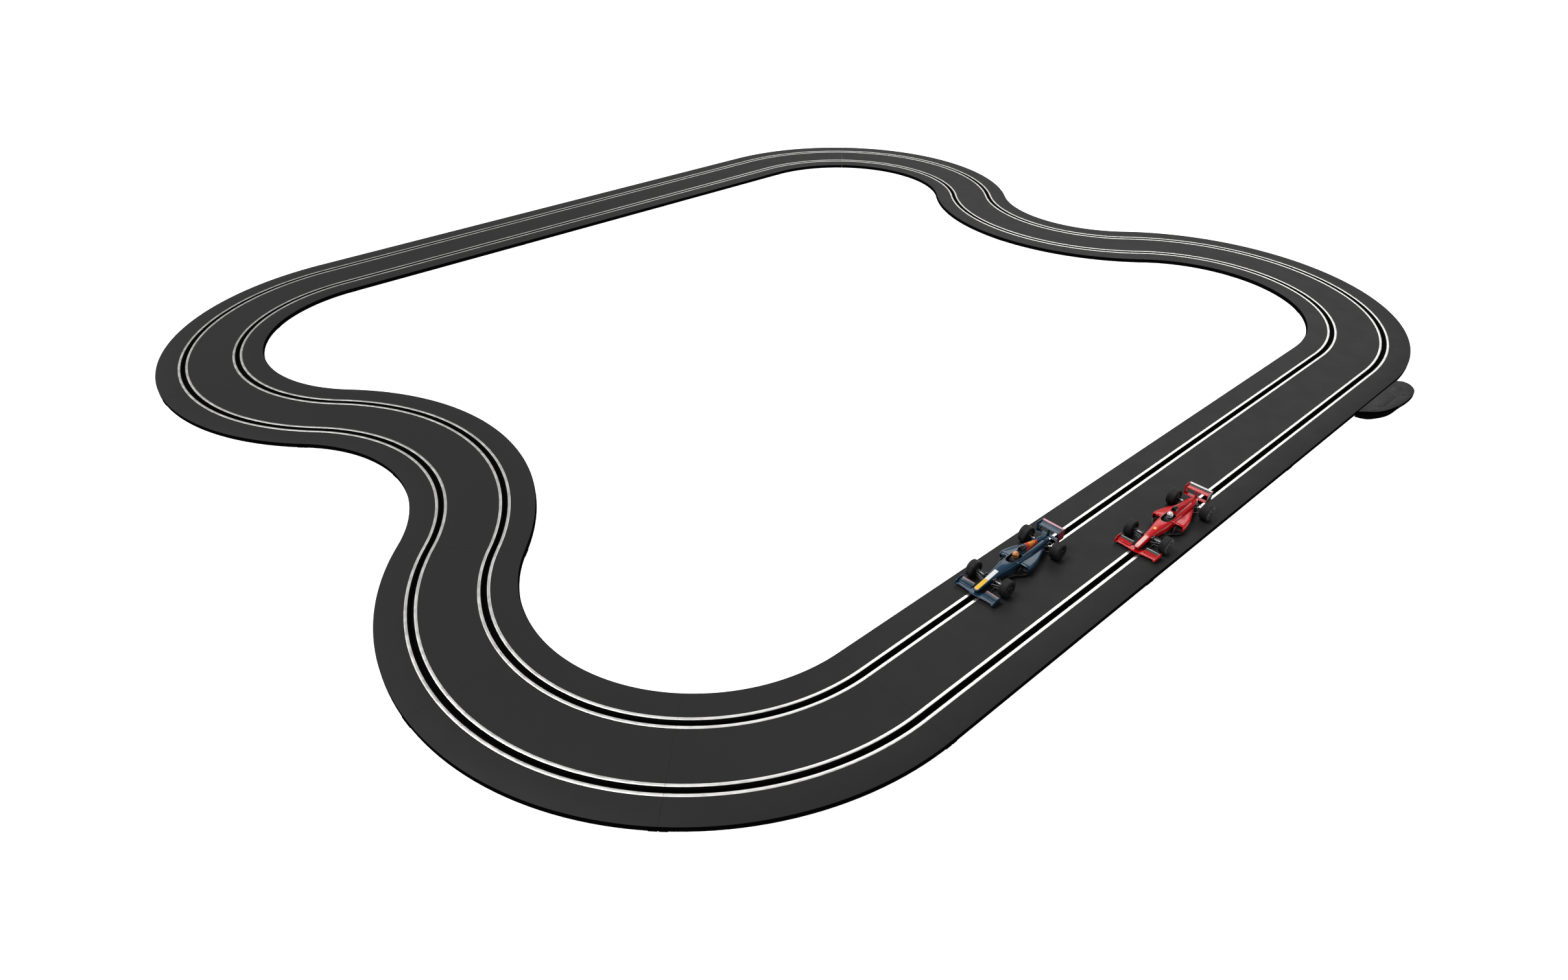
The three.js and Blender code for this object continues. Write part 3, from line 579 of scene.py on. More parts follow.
# ---------------------------------------------------------------- shapes cut from one another
def sculpted(name, start, steps):
    """Joins and cuts shapes in turn: steps is a list of (operation, Shape)."""
    stand_ins = [ROAD, BLACK, BRASS, STEEL]
    scratch = []

    def temporary(shape):
        made = bpy.data.objects.new("scratch", shape.mesh("scratch"))
        for material in stand_ins:
            made.data.materials.append(material)
        bpy.context.scene.collection.objects.link(made)
        scratch.append(made)
        return made

    base = temporary(start)
    for operation, shape in steps:
        change = base.modifiers.new(operation, "BOOLEAN")
        change.operation = operation
        change.object = temporary(shape)
        change.solver = "EXACT"
        change.use_self = True
        change.material_mode = "INDEX"
    bpy.context.view_layer.update()
    result = bpy.data.meshes.new_from_object(base.evaluated_get(bpy.context.evaluated_depsgraph_get()))
    result.name = name
    for made in scratch:
        bpy.data.objects.remove(made)
    tidy = bmesh.new()
    tidy.from_mesh(result)
    bmesh.ops.remove_doubles(tidy, verts=tidy.verts, dist=0.004)
    bmesh.ops.dissolve_degenerate(tidy, dist=0.002, edges=tidy.edges)
    tidy.to_mesh(result)
    tidy.free()
    return result


def refined(rows, pace):
    """Rows of numbers, the first of them a distance, filled in along a smooth curve."""
    filled = []
    slopes = []
    for i in range(len(rows)):
        before, after = rows[max(i - 1, 0)], rows[min(i + 1, len(rows) - 1)]
        slopes.append([(b - a) / (after[0] - before[0]) for a, b in zip(before, after)])
    for i in range(len(rows) - 1):
        span = rows[i + 1][0] - rows[i][0]
        parts = max(1, round(span / pace))
        for k in range(parts):
            t = k / parts
            weights = (2 * t**3 - 3 * t**2 + 1, (t**3 - 2 * t**2 + t) * span,
                       3 * t**2 - 2 * t**3, (t**3 - t**2) * span)
            filled.append([
                weights[0] * p + weights[1] * dp + weights[2] * q + weights[3] * dq
                for p, dp, q, dq in zip(rows[i], slopes[i], rows[i + 1], slopes[i + 1])
            ])
    return filled + [list(rows[-1])]


def hull(rows, sides=44, square=0.6, pace=2.0, zone=0):
    """A body skinned over sections [x, half width, low, high], with rounded corners."""
    shape = Shape()
    rings = []
    for x, half, low, high in refined(rows, pace):
        ring = []
        for k in range(sides):
            angle = 2 * math.pi * (k + 0.5) / sides
            c, s = math.cos(angle), math.sin(angle)
            ring.append((
                x,
                half * math.copysign(abs(c) ** square, c),
                (low + high) / 2 + (high - low) / 2 * math.copysign(abs(s) ** square, s),
            ))
        rings.append(ring)
    shape.loft(rings, zone)
    return shape


def slab(outline, low, high, bevel=0.3, zone=0):
    """A flat piece with rounded rims, from an outline of (x, y) points."""
    shape = Shape()
    shape.loft(slab_rings(outline, low, high, bevel), zone)
    return shape


def inset(outline, margin):
    """An outline moved inwards along its own normals."""
    moved = []
    count = len(outline)
    area = sum(outline[i - 1][0] * outline[i][1] - outline[i][0] * outline[i - 1][1] for i in range(count))
    turn = math.copysign(1, area)
    for i, (x, y) in enumerate(outline):
        before, after = Vector(outline[i - 1]), Vector(outline[(i + 1) % count])
        first = (Vector((x, y)) - before).normalized()
        second = (after - Vector((x, y))).normalized()
        normal = Vector((-(first.y + second.y), first.x + second.x))
        if normal.length < 1e-6:
            moved.append((x, y))
            continue
        normal.normalize()
        lean = max(0.5, normal.dot(Vector((-first.y, first.x))))
        moved.append((x + turn * normal.x * margin / lean, y + turn * normal.y * margin / lean))
    return moved


def slab_rings(outline, low, high, bevel):
    levels = [(low, bevel), (low + bevel * 0.3, bevel * 0.3), (low + bevel, 0), (high - bevel, 0),
              (high - bevel * 0.3, bevel * 0.3), (high, bevel)]
    return [[(x, y, z) for x, y in inset(outline, margin)] for z, margin in levels]


def upright(outline, near, far, bevel=0.15, zone=0, zones=None):
    """A plate standing along X: an outline of (x, z) points between two values of y."""
    shape = Shape()
    rings = [[(x, z, y) for x, y, z in ring] for ring in slab_rings(outline, near, far, bevel)]
    shape.loft(rings, zone)
    if zones:
        shape.zones[-2:] = zones
    return shape


def absorb(shape, other):
    shape.add(other.verts, other.faces, other.zones)


def side_plate(shape, side, outline, inner, outer, bevel=0.15, zone=0):
    """Adds a standing plate on one side of a car, between two distances from its middle."""
    near, far = sorted((side * inner, side * outer))
    absorb(shape, upright(outline, near, far, bevel, zone))


def arc(points, pace):
    """A smooth open line through (x, y) points."""
    distance = 0.0
    rows = [[0.0, *points[0]]]
    for before, after in zip(points, points[1:]):
        distance += math.dist(before, after)
        rows.append([distance, *after])
    return [(x, y) for _, x, y in refined(rows, pace)]


# ---------------------------------------------------------------- power base
BASE_EDGE = -78.3
BASE_TOP = 5.7
BASE_STEP = 3.4
BASE_MARGIN = 0.2
BASE_SEAM = 0.12  # how much narrower the upper part is than its shelf
BASE_WALL = 1.6
BASE_LID = 1.4
BASE_OUTLINE = [
    (913, BASE_EDGE), (939, -101.5), (978, -112.5), (1014, -114.5), (1043, -110), (1058, -98), (1061, -87),
]
BASE_SHELF = [(905, BASE_EDGE), (907, -88), (914, -97), (942, -109.5), *BASE_OUTLINE[2:]]
BASE_END = (1054, BASE_EDGE)
SOCKETS = (978, 1000, 1022)
STRIP_FRONT, STRIP_BACK = -107, -101
BOSSES = [(930, -88), (1046, -88), (962, -104), (1036, -104)]
CHIPS = [(956, -95, 7, 5), (972, -90, 4, 4), (990, -94, 10, 6), (1012, -89, 5, 3), (1030, -93, 6, 6)]


def base_shape(points, low, high, margin, bevel, zone=0):
    """A solid on one of the base's outlines, with its top edge rounded."""
    corners = inset(points + [BASE_END], margin)
    outline = arc(corners[:-1], 2.5) + [corners[-1]]
    shape = Shape()
    levels = [(low, 0.0), (high - bevel, 0.0), (high - bevel * 0.6, bevel * 0.1),
              (high - bevel * 0.25, bevel * 0.35), (high, bevel)]
    shape.loft([[(x, y, z) for x, y in inset(outline, step)] for z, step in levels], zone)
    # Unless given a zone, the lowest side faces take zone 2; on the cover that zone is near-black, as painted
    # shade.
    if not zone:
        shape.zones[:3 * len(outline)] = [2] * (3 * len(outline))
    return shape


def base_cover():
    windows = Shape()
    for middle in SOCKETS:
        windows.box((middle - 6.1, STRIP_FRONT - 12, 1.3), (middle + 6.1, STRIP_BACK, 4), 1)
    dimple = Shape()
    dimple.lathe([(0, -0.5), (2.2, -0.5), (2.7, 1), (0, 1)], (1014, -104, BASE_TOP), 0, segments=32, axis="z")
    panel = slab([(950, -83), (950, -95), (960, -99), (1000, -99), (1005, -95), (1005, -83)],
                 BASE_TOP - 0.4, BASE_TOP + 0.15, 0.14)
    patch = slab([(1014, -84), (1014, -96), (1040, -95), (1040, -84)], BASE_TOP - 0.3, BASE_TOP + 0.12, 0.1)
    # The hollows differ a little in margin and depth, so that no two faces lie on one another
    # The shelf and the cover's side faces take zone 2, near-black, as painted shade.
    return sculpted("power_base", base_shape(BASE_OUTLINE, 0.5, BASE_TOP, BASE_MARGIN + BASE_SEAM, 0.9), [
        ("UNION", base_shape(BASE_SHELF, 0, BASE_STEP, BASE_MARGIN, 0.5, 2)),
        ("UNION", panel),
        ("UNION", patch),
        ("DIFFERENCE", dimple),
        ("DIFFERENCE", base_shape(BASE_OUTLINE, -1, BASE_TOP - BASE_LID, BASE_WALL, 0.5, 1)),
        ("DIFFERENCE", base_shape(BASE_SHELF, -1.5, BASE_STEP - 0.7, BASE_WALL + 0.3, 0.3, 1)),
        ("DIFFERENCE", windows),
    ])


def base_floor():
    plate = base_shape(BASE_SHELF, 0, 1, BASE_WALL + 0.3, 0.2)
    boss = [(0, 0.02), (2.4, 0.02), (2.7, 0.3), (2.7, 1.3), (0, 1.3)]
    for x, y in BOSSES:
        plate.lathe(boss, (x, y, 0), 1, segments=28, axis="z")
    return plate.mesh("plate")


def circuit_board():
    board = slab([(945, -99), (1042, -99), (1042, -81.9), (945, -81.9)], 1.6, 2.6, 0.1)
    for x, y, long, wide in CHIPS:
        board.box((x, y, 2.55), (x + long, y + wide, 3.5), 1, 0.15)
        for k in range(4):
            pin = x + long * (k + 0.5) / 4
            board.box((pin - 0.2, y - 0.7, 2.6), (pin + 0.2, y + wide + 0.7, 2.85), 2)
    return board.mesh("board")


def socket_strip():
    strip = Shape()
    strip.box((SOCKETS[0] - 7.5, STRIP_FRONT, 1.3), (SOCKETS[-1] + 7.5, STRIP_BACK, 4), 0, 0.25)
    mouths = Shape()
    pins = []
    for middle in SOCKETS:
        mouths.box((middle - 5.5, STRIP_FRONT - 1, 1.8), (middle + 5.5, STRIP_BACK - 0.5, 3.5))
        for offset in (-2.6, 0, 2.6):
            contact = Shape()
            x = middle + offset
            contact.box((x - 0.35, STRIP_FRONT + 1.4, 2.4), (x + 0.35, STRIP_BACK - 0.2, 2.9), 2)
            pins.append(("UNION", contact))
    return sculpted("sockets", strip, [("DIFFERENCE", mouths), *pins])


for name, mesh, materials, slot, stands_for in (
    ("power_base_cover", base_cover(), [BASE_GREY, BLACK, EDGE_PAINTED_SHADE], "base_plastic", "power_base_shell"),
    ("power_base_floor", base_floor(), [BLACK, BLACK, BLACK], "black_plastic", "power_base_plate"),
    ("power_base_board", circuit_board(), [BOARD, BLACK, STEEL], "circuit_board", "power_circuit_board"),
    ("power_base_sockets", socket_strip(), [BLACK, BLACK, BRASS], "black_plastic", "power_socket_strip"),
):
    show(name, mesh, LAP_START, materials, "track", slot, [stands_for])

# ---------------------------------------------------------------- cars, from the guide's pivot and the road
FRONT_AXLE, REAR_AXLE = 16, 113.5
AXLE_Z = 10.7
TYRE_RADIUS = 10.55
HALF_CAR = 28
MOTOR = (74.5, 96)
TYRES = {"front": (FRONT_AXLE, 9.5), "rear": (REAR_AXLE, 11.5)}
RED = (0.5, 0.0025, 0.006)
NAVY = (0.009, 0.038, 0.075)
WHITE = (0.78, 0.78, 0.76)
ORANGE = (0.72, 0.24, 0.015)
SCARLET = (0.6, 0.035, 0.012)
YELLOW = (0.85, 0.52, 0.06)
DARK_RED = (0.25, 0.008, 0.02)
PINK = (0.72, 0.38, 0.42)
COAL = (0.008, 0.008, 0.009)
CARS = {
    "red_car": {
        "paint": RED, "helmet": WHITE, "helmet_band": (0.5, 0.02, 0.02),
        "wing_edge": WHITE, "wing_side": COAL, "front_flap": COAL, "rear_flap": COAL,
        "patches": [
            # The pale soft patch along the nose top: partly a pale livery panel, partly a painted highlight
            # fading back into the red.
            ((0.8, 0.5, 0.46), (-9, 12), 2.3, (8.2, 30), 2.5),
            (YELLOW, (27, 30.6), 1.6, (8, 30), 0.15),
            (COAL, (60, 73), 6, (22.6, 30), 0.15),
        ],
    },
    "blue_car": {
        "paint": NAVY, "helmet": ORANGE, "helmet_band": (0.02, 0.05, 0.2),
        "wing_edge": PINK, "wing_side": DARK_RED, "front_flap": scaled(NAVY, 0.5), "rear_flap": NAVY,
        "patches": [
            (YELLOW, (-9, 9), 2.6, (8.4, 30), 0.15),
            (WHITE, (9.2, 27), 2.6, (11, 30), 0.15),
            (SCARLET, (77, 100), 6, (18.6, 30), 0.15),
            (ORANGE, (83, 95), 6, (21.2, 30), 0.15),
            (COAL, (60, 73), 6, (22.6, 30), 0.15),
        ],
    },
}

# Sections of each body: [x, half width, low, high]
TUB = [
    [-10, 2.3, 6.6, 8.8], [-9, 3.0, 6.3, 9.6], [-6, 3.5, 6.2, 10.4], [0, 3.9, 6.1, 11.3],
    [14, 4.7, 5.6, 13.8], [30, 6.2, 4.8, 16.6], [44, 8.2, 4.5, 18.4], [66, 9, 4.5, 18.8],
    [84, 8.6, 4.5, 18.2], [104, 7.4, 4.9, 17.4], [116, 6.3, 6.2, 16.6], [120.8, 5.4, 7.4, 15.8],
]
SIDEPODS = [
    [59.6, 20.2, 5, 13.4], [60.6, 20.9, 4.6, 14.1], [66, 21, 4.5, 14.2],
    [82, 17.8, 4.5, 13], [96, 12.6, 4.5, 12], [106, 9.2, 4.6, 11.2],
]
ENGINE_COVER = [
    [68, 3.2, 14, 27.2], [70.5, 3.7, 14, 28], [75, 3.6, 14, 27.6], [86, 3.1, 14, 25], [104, 2.1, 14, 20.4],
    [118, 1.3, 14, 17.6],
]
COCKPIT = [
    [46, 2.4, 9.8, 32], [48.2, 4.4, 9.8, 32], [53, 5.7, 9.8, 32], [64.5, 5.9, 9.8, 32], [67.9, 4.4, 9.8, 32],
]


def tub_top(x, y, square=0.6):
    """The height of the tub's upper surface at a place."""
    rows = refined(TUB, 2.0)
    after = next(i for i, row in enumerate(rows) if row[0] >= x)
    share = (x - rows[after - 1][0]) / (rows[after][0] - rows[after - 1][0])
    _, half, low, high = [a + (b - a) * share for a, b in zip(rows[after - 1], rows[after])]
    c = (abs(y) / half) ** (1 / square)
    return (low + high) / 2 + (high - low) / 2 * math.sqrt(1 - c * c) ** square


def narrowed(rows, wall, sink):
    """The hollow inside a body: thinner by its wall, and sunk so that it opens below."""
    return [[x, half - wall, low - sink, high - wall] for x, half, low, high in rows]


def body_shell():
    tub_inside = [row for row in TUB if row[0] >= 44][:-1] + [[119.6, 5.4, 7.4, 15.8]]
    pod_inside = [[63.5, *SIDEPODS[1][1:]], *SIDEPODS[2:]]
    intakes = Shape()
    notches = Shape()
    for side in (-1, 1):
        near, far = sorted((side * 9.8, side * 19.4))
        intakes.box((57, near, 5.6), (63, far, 12.9), 1, 1.4)
    for x in (FRONT_AXLE, REAR_AXLE):
        notches.box((x - 2.4, -13, -1), (x + 2.4, 13, AXLE_Z + 1.8), 1)
    cockpit = hull(COCKPIT, 40, 0.75, 1.5, 1)
    airbox = hull([[65.5, 2.5, 22, 26.6], [71, 2.2, 22.2, 26.2]], 24, 0.8, 1.5, 1)
    mesh = sculpted("body", hull(TUB), [
        ("UNION", hull(SIDEPODS, 52, 0.42)),
        ("UNION", hull(ENGINE_COVER, 32, 0.75)),
        ("DIFFERENCE", hull(narrowed(tub_inside, 1.2, 6), zone=1)),
        ("DIFFERENCE", hull(narrowed(pod_inside, 1.2, 6), 52, 0.42, zone=1)),
        ("DIFFERENCE", cockpit),
        ("DIFFERENCE", airbox),
        ("DIFFERENCE", intakes),
        ("DIFFERENCE", notches),
    ])
    # The cockpit's rim, and the two mirrors on their stalks
    fittings = Shape()
    edge = [(x, half) for x, half, _, _ in refined(COCKPIT, 1.5)]
    around = edge + [(x, -half) for x, half in reversed(edge)] + edge[:1]
    rim = [(x, y, tub_top(x, y)) for x, y in around]
    for side in (-1, 1):
        fittings.tube([(51.5, side * 6.5, 17.6), (50.6, side * 9.4, 19.2)], 0.35, 1, 8)
        pod = hull([[49.4, 1.7, 18.5, 20.6], [50.2, 2, 18.3, 20.8], [51.4, 1.8, 18.5, 20.6]], 20, 0.6, 0.6)
        fittings.add([(x, y + side * 10.6, z) for x, y, z in pod.verts], pod.faces, pod.zones)
    fittings.tube(rim, 0.35, 1, 8)
    return mesh, fittings


def foil(lead, trail, thick, camber):
    """A wing's section as (x, z) points: nose at lead and tail at trail, hollow above as a racing wing is."""
    count = 9
    upper, lower = [], []
    for k in range(count + 1):
        t = 0.5 - 0.5 * math.cos(math.pi * k / count)
        x = lead[0] + (trail[0] - lead[0]) * t
        z = lead[1] + (trail[1] - lead[1]) * t - camber * 4 * t * (1 - t)
        body = thick * (1.5 * math.sqrt(t) * (1 - t) + 0.16 * (1 - t) + 0.1)
        upper.append((x, z + body / 2))
        lower.append((x, z - body / 2))
    return upper + lower[::-1]


def wing(shape, stations, zone=0):
    """A wing lofted across stations of (y, lead, trail, thickness, camber)."""
    shape.loft([[(x, y, z) for x, z in foil(lead, trail, thick, camber)]
                for y, lead, trail, thick, camber in stations], zone)


def front_wing():
    shape = Shape()
    across = [-26.6, -22, -16, -10, -6, 0, 6, 10, 16, 22, 26.6]
    wing(shape, [
        (y, (-11.2 - 2.2 * max(0, 1 - abs(y) / 18), 3.5), (-3.6, 3.6), 1.25, 0.15) for y in across
    ])
    for side in (-1, 1):
        spans = sorted((side * 26.6, side * 22, side * 14, side * 8.2))
        wing(shape, [(y, (-4.6, 4.1), (0.4, 5.6 + 0.03 * abs(y)), 0.8, 0.25) for y in spans], 1)
        wing(shape, [(y, (-7.2, 4.5), (-3.4, 5.2 + 0.03 * abs(y)), 0.6, 0.2) for y in spans], 0)
        flap_edge = [(0.1, 5.9), (0.5, 5.9), (0.5, 6.6), (0.1, 6.6)]
        side_plate(shape, side, flap_edge, 8.4, 26.4, 0.08, 2)
        end_plate = [(-12.6, 2.6), (1.4, 2.6), (1.6, 3), (1.6, 7.8),
                     (1.0, 8.4), (-6.5, 8.4), (-10.5, 7), (-12.4, 4.6)]
        side_plate(shape, side, end_plate, 26.1, 27)
        foot = [(-12.2, 2.7), (1.2, 2.7), (1.2, 3.2), (-12.2, 3.2)]
        side_plate(shape, side, foot, 23.6, 26.4, 0.1)
        pylon = [(-8.8, 3.4), (-4.2, 3.4), (-3.4, 7), (-7.6, 7)]
        side_plate(shape, side, pylon, 1.1, 1.9)
    return shape


def rear_wing():
    shape = Shape()
    back = 121.1
    half = 14.6
    spans = [-half, -half / 2, 0, half / 2, half]
    wing(shape, [(y, (back + 1.2, 25.4), (back + 8.6, 26.2), 1.3, 0.35) for y in spans])
    wing(shape, [(y, (back + 7.4, 26.4), (back + 12, 27.7), 0.8, 0.25) for y in spans], 3)
    absorb(shape, upright([(back + 10, 27.35), (back + 12.3, 28), (back + 12.3, 28.35), (back + 10, 27.7)],
                          -half, half, 0.08, 1))
    wing(shape, [(y, (back + 0.4, 15.6), (back + 5.6, 16.4), 1.1, 0.2) for y in spans])
    for side in (-1, 1):
        end_plate = [(0.6, 15.4), (4, 14.6), (12.2, 14.6), (13, 15.4), (13, 27.8),
                     (12.4, 28.4), (1.4, 28.4), (0.4, 27.4), (0.4, 20)]
        near, far = sorted((side * 14.3, side * 15.2))
        faces = (2, 0) if side < 0 else (0, 2)
        absorb(shape, upright([(back + x, z) for x, z in end_plate], near, far, 0.2, 0, faces))
    pylon = [(0.2, 11), (4.6, 11), (5.4, 15), (6, 25.6), (2, 25.6), (0.2, 15)]
    absorb(shape, upright([(back + x, z) for x, z in pylon], -0.8, 0.8))
    return shape


FLOOR_HALF = [
    (-4.2, 3.4), (8, 4.4), (10, 7.4), (30, 7.4), (40, 9.2), (48, 12), (56, 18.2), (60, 19.8), (68, 20.2),
    (76, 18.8), (84, 16.8), (94, 12.8), (104, 9.2), (123, 9),
]
# Each arm's foot (x from its axle, y, z), its tip and its radius
FRONT_ARMS = [
    ((-4.5, 6.4, 8.5), (-2.6, 17.4, 10.7), 0.55), ((8, 6.4, 8.5), (2.6, 17.4, 10.7), 0.55),
    ((-4.5, 6.4, 5.4), (-2.2, 17.2, 6.6), 0.5), ((8, 6.4, 5.4), (2.2, 17.2, 6.6), 0.5),
    ((-1, 6.6, 12.6), (0, 17.2, 13.2), 0.35),
]
REAR_ARMS = [
    ((-6, 7.4, 5), (-2.6, 15.2, 7), 0.45), ((5, 7.4, 5), (2.6, 15.2, 7), 0.45),
    ((-6, 7.4, 12.6), (-2, 15.2, 13.4), 0.45), ((5, 7.4, 12.6), (2, 15.2, 13.4), 0.45),
]
SCREWS = [(30, 0), (98, -4.5), (98, 4.5)]
BORE_RADIUS = 1.35
BORE_REACH = 19  # through the front uprights


def arms(shape, axle_x, side, bars):
    for foot, tip, radius in bars:
        ends = [(axle_x + x, side * y, z) for x, y, z in (foot, tip)]
        shape.tube(ends, radius, 1, 10)


def chassis_fittings():
    """What stands on the floor pan: bearings, deflectors, arms, uprights, diffuser, motor bed and magnet."""
    extras = Shape()
    for side in (-1, 1):
        for x, inner, outer in ((FRONT_AXLE, 5.9, 7.4), (REAR_AXLE, 7.1, 9)):
            ear = [(-3, 3), (3, 3), (3, 11.5), (1.8, 13.7), (-1.8, 13.7), (-3, 11.5)]
            side_plate(extras, side, [(x + dx, z) for dx, z in ear], inner, outer, 0.2)
        mount = [(-6, 3), (10, 3), (10, 8.6), (8, 9.1), (-4, 9.1), (-6, 8.6)]
        side_plate(extras, side, [(FRONT_AXLE + dx, z) for dx, z in mount], 5.9, 7.4, 0.2)
        deflector = [(50, 3), (57.5, 3), (58, 10.6), (55.5, 12.2), (51.5, 11), (50, 7)]
        side_plate(extras, side, deflector, 12.6, 13.2, 0.1)
        arms(extras, FRONT_AXLE, side, FRONT_ARMS)
        hub_carrier = [(-3, 6.2), (3, 6.2), (3.2, 11), (1.4, 13.6), (-1.4, 13.6), (-3.2, 11)]
        side_plate(extras, side, [(FRONT_AXLE + dx, z) for dx, z in hub_carrier], 16.7, 17.8, 0.2, 1)
        arms(extras, REAR_AXLE, side, REAR_ARMS)
        for x in (107, 112, 117):
            inner = (x - 101) * 0.42
            fin = [(x - 3, 1.5), (122, 1.5), (122.4, 2.6), (x - 3, 2.6)]
            side_plate(extras, side, fin, inner, inner + 0.6, 0.1)
    extras.box((MOTOR[0] + 2, -5.4, 3.4), (MOTOR[1] - 2, 5.4, 5.9), 0, 0.3)
    extras.box((99.6, -8, 1.9), (104.4, 8, 3), 2, 0.25)
    screw = [(0, 1.9), (1.6, 1.9), (1.9, 2.1), (1.9, 2.9), (0, 2.9)]
    for x, y in SCREWS:
        extras.lathe(screw, (x, y, 0), 2, segments=24, axis="z")
    return extras


def chassis():
    floor = slab(FLOOR_HALF + [(x, -y) for x, y in reversed(FLOOR_HALF)], 2.4, 4, 0.35)
    window = Shape()
    window.box((REAR_AXLE - 8, -6.6, -1), (REAR_AXLE + 7.4, 6.6, 10))
    hole = Shape()
    hole.lathe([(0, 0), (2.15, 0), (2.15, 10), (0, 10)], (0, 0, 0), 0, segments=32, axis="z")
    bores = Shape()
    bore = [(0, -BORE_REACH), (BORE_RADIUS, -BORE_REACH), (BORE_RADIUS, BORE_REACH), (0, BORE_REACH)]
    for x in (FRONT_AXLE, REAR_AXLE):
        bores.lathe(bore, (x, 0, AXLE_Z), 2, segments=28)
    return sculpted("chassis", floor, [
        ("UNION", chassis_fittings()),
        ("DIFFERENCE", window),
        ("DIFFERENCE", hole),
        ("DIFFERENCE", bores),
    ])


HELMET_MIDDLE = Vector((60.9, 0, 20.4))
HELMET_RADIUS = 4.1


def helmet_ball(shape, zone_of):
    """The helmet, drawn forward into a chin guard, with each face's zone chosen from its direction."""
    rows, columns = 28, 48
    verts, faces, zones = [], [], []

    def point(i, j):
        polar, around = math.pi * i / rows, 2 * math.pi * j / columns
        direction = Vector((
            -math.sin(polar) * math.cos(around),
            math.sin(polar) * math.sin(around),
            math.cos(polar),
        ))
        chin = 0.12 * max(0, direction.x * -1) * max(0, -direction.z + 0.1)
        reach = HELMET_RADIUS * (1 + chin + 0.05 * max(0, direction.x))
        outward = Vector((direction.x * reach, direction.y * reach * 0.9, direction.z * reach))
        return direction, HELMET_MIDDLE + outward

    for i in range(1, rows):
        verts += [point(i, j)[1] for j in range(columns)]
    top, bottom = len(verts), len(verts) + 1
    verts += [point(0, 0)[1], point(rows, 0)[1]]
    for i in range(1, rows - 1):
        for j in range(columns):
            after = (j + 1) % columns
            a, b = (i - 1) * columns, i * columns
            faces.append([a + j, a + after, b + after, b + j])
            zones.append(zone_of(point(i + 0.5, j + 0.5)[0]))
    for j in range(columns):
        after = (j + 1) % columns
        faces.append([top, j, after])
        faces.append([bottom, (rows - 2) * columns + after, (rows - 2) * columns + j])
        zones += [zone_of(Vector((0, 0, 1))), 0]
    shape.add(verts, faces, zones)


def driver():
    """A plain driver's bust with a tray and a wheel. The helmet's zones: 0 shell, 1 visor, 2 band."""
    def zone_of(direction):
        if direction.x < -0.25 and -0.12 < direction.z < 0.36:
            return 1
        if 0.62 < direction.z < 0.74:
            return 2
        return 0

    shape = Shape()
    helmet_ball(shape, zone_of)
    torso = [[56.5, 3.2, 9.4, 13.6], [58.5, 4.6, 9.4, 16], [61.5, 5, 9.4, 17.4], [65.5, 4.4, 9.4, 16.4]]
    absorb(shape, hull(torso, 32, 0.8, 1, 3))
    shape.box((47.5, -4.8, 8.6), (66.5, 4.8, 9.8), 3, 0.3)
    wheel = []
    for k in range(25):
        angle = 2 * math.pi * k / 24
        wheel.append((53.9 + 0.5 * math.sin(angle), 2.5 * math.cos(angle), 14.8 + 1.7 * math.sin(angle)))
    shape.tube(wheel, 0.36, 3, 8)
    shape.tube([(53.9, 0, 14.8), (51.4, 0, 12.6), (51.2, 0, 9.4)], 0.45, 3, 8)
    for side in (-1, 1):
        shape.tube([(60.5, side * 3.8, 15.6), (57.5, side * 4.3, 13.4), (54.5, side * 2.7, 14.4)], 1.0, 3, 12)
    return shape


def motor():
    def outline(tall, half, round_by):
        points = []
        for cx, cy, start in ((tall, half, 0), (-tall, half, 90), (-tall, -half, 180), (tall, -half, 270)):
            for k in range(6):
                angle = math.radians(start + 18 * k)
                points.append((math.copysign(abs(cx) - round_by, cx) + round_by * math.cos(angle),
                               math.copysign(abs(cy) - round_by, cy) + round_by * math.sin(angle)))
        return points

    shape = Shape()
    for low, high, grow, zone in ((MOTOR[0], MOTOR[0] + 4, 0.0, 1), (MOTOR[0] + 3.9, MOTOR[1], -0.05, 0)):
        rings = slab_rings(outline(4.5 + grow, 6 + grow, 2.4), low, high, 0.35)
        shape.loft([[(x, side, AXLE_Z + tall) for tall, side, x in ring] for ring in rings], zone)
    bush = [(0.85, -0.2), (2.2, -0.2), (2.2, 0.0), (1.6, 0.25), (0.85, 0.25)]
    shape.lathe(bush, (MOTOR[1], 0, AXLE_Z), 2, axis="x")
    for y in (-3, 3):
        shape.box((MOTOR[0] - 1.2, y - 0.5, AXLE_Z + 2), (MOTOR[0] + 0.5, y + 0.5, AXLE_Z + 2.4), 2, 0.1)
    return shape


def gear(shape, teeth, tip, valley, low, high, centre, axis, bore, zone=0):
    """A spur gear between low and high along an axis."""
    ring_out = []
    for i in range(teeth):
        for share, radius in ((0.0, valley), (0.22, valley), (0.36, tip), (0.64, tip), (0.78, valley)):
            angle = 2 * math.pi * (i + share) / teeth
            ring_out.append((radius * math.cos(angle), radius * math.sin(angle)))
    count = len(ring_out)
    levels = []
    for radius_share, along in ((None, low), (1, low), (1, high), (None, high)):
        points = []
        for k in range(count):
            if radius_share:
                a, b = ring_out[k]
            else:
                angle = math.atan2(ring_out[k][1], ring_out[k][0])
                a, b = bore * math.cos(angle), bore * math.sin(angle)
            placed_by = {
                "x": (centre[0] + along, centre[1] + a, centre[2] + b),
                "y": (centre[0] + a, centre[1] + along, centre[2] + b),
            }
            points.append(placed_by[axis])
        levels.append(points)
    shape.loft(levels, zone, closed=True)


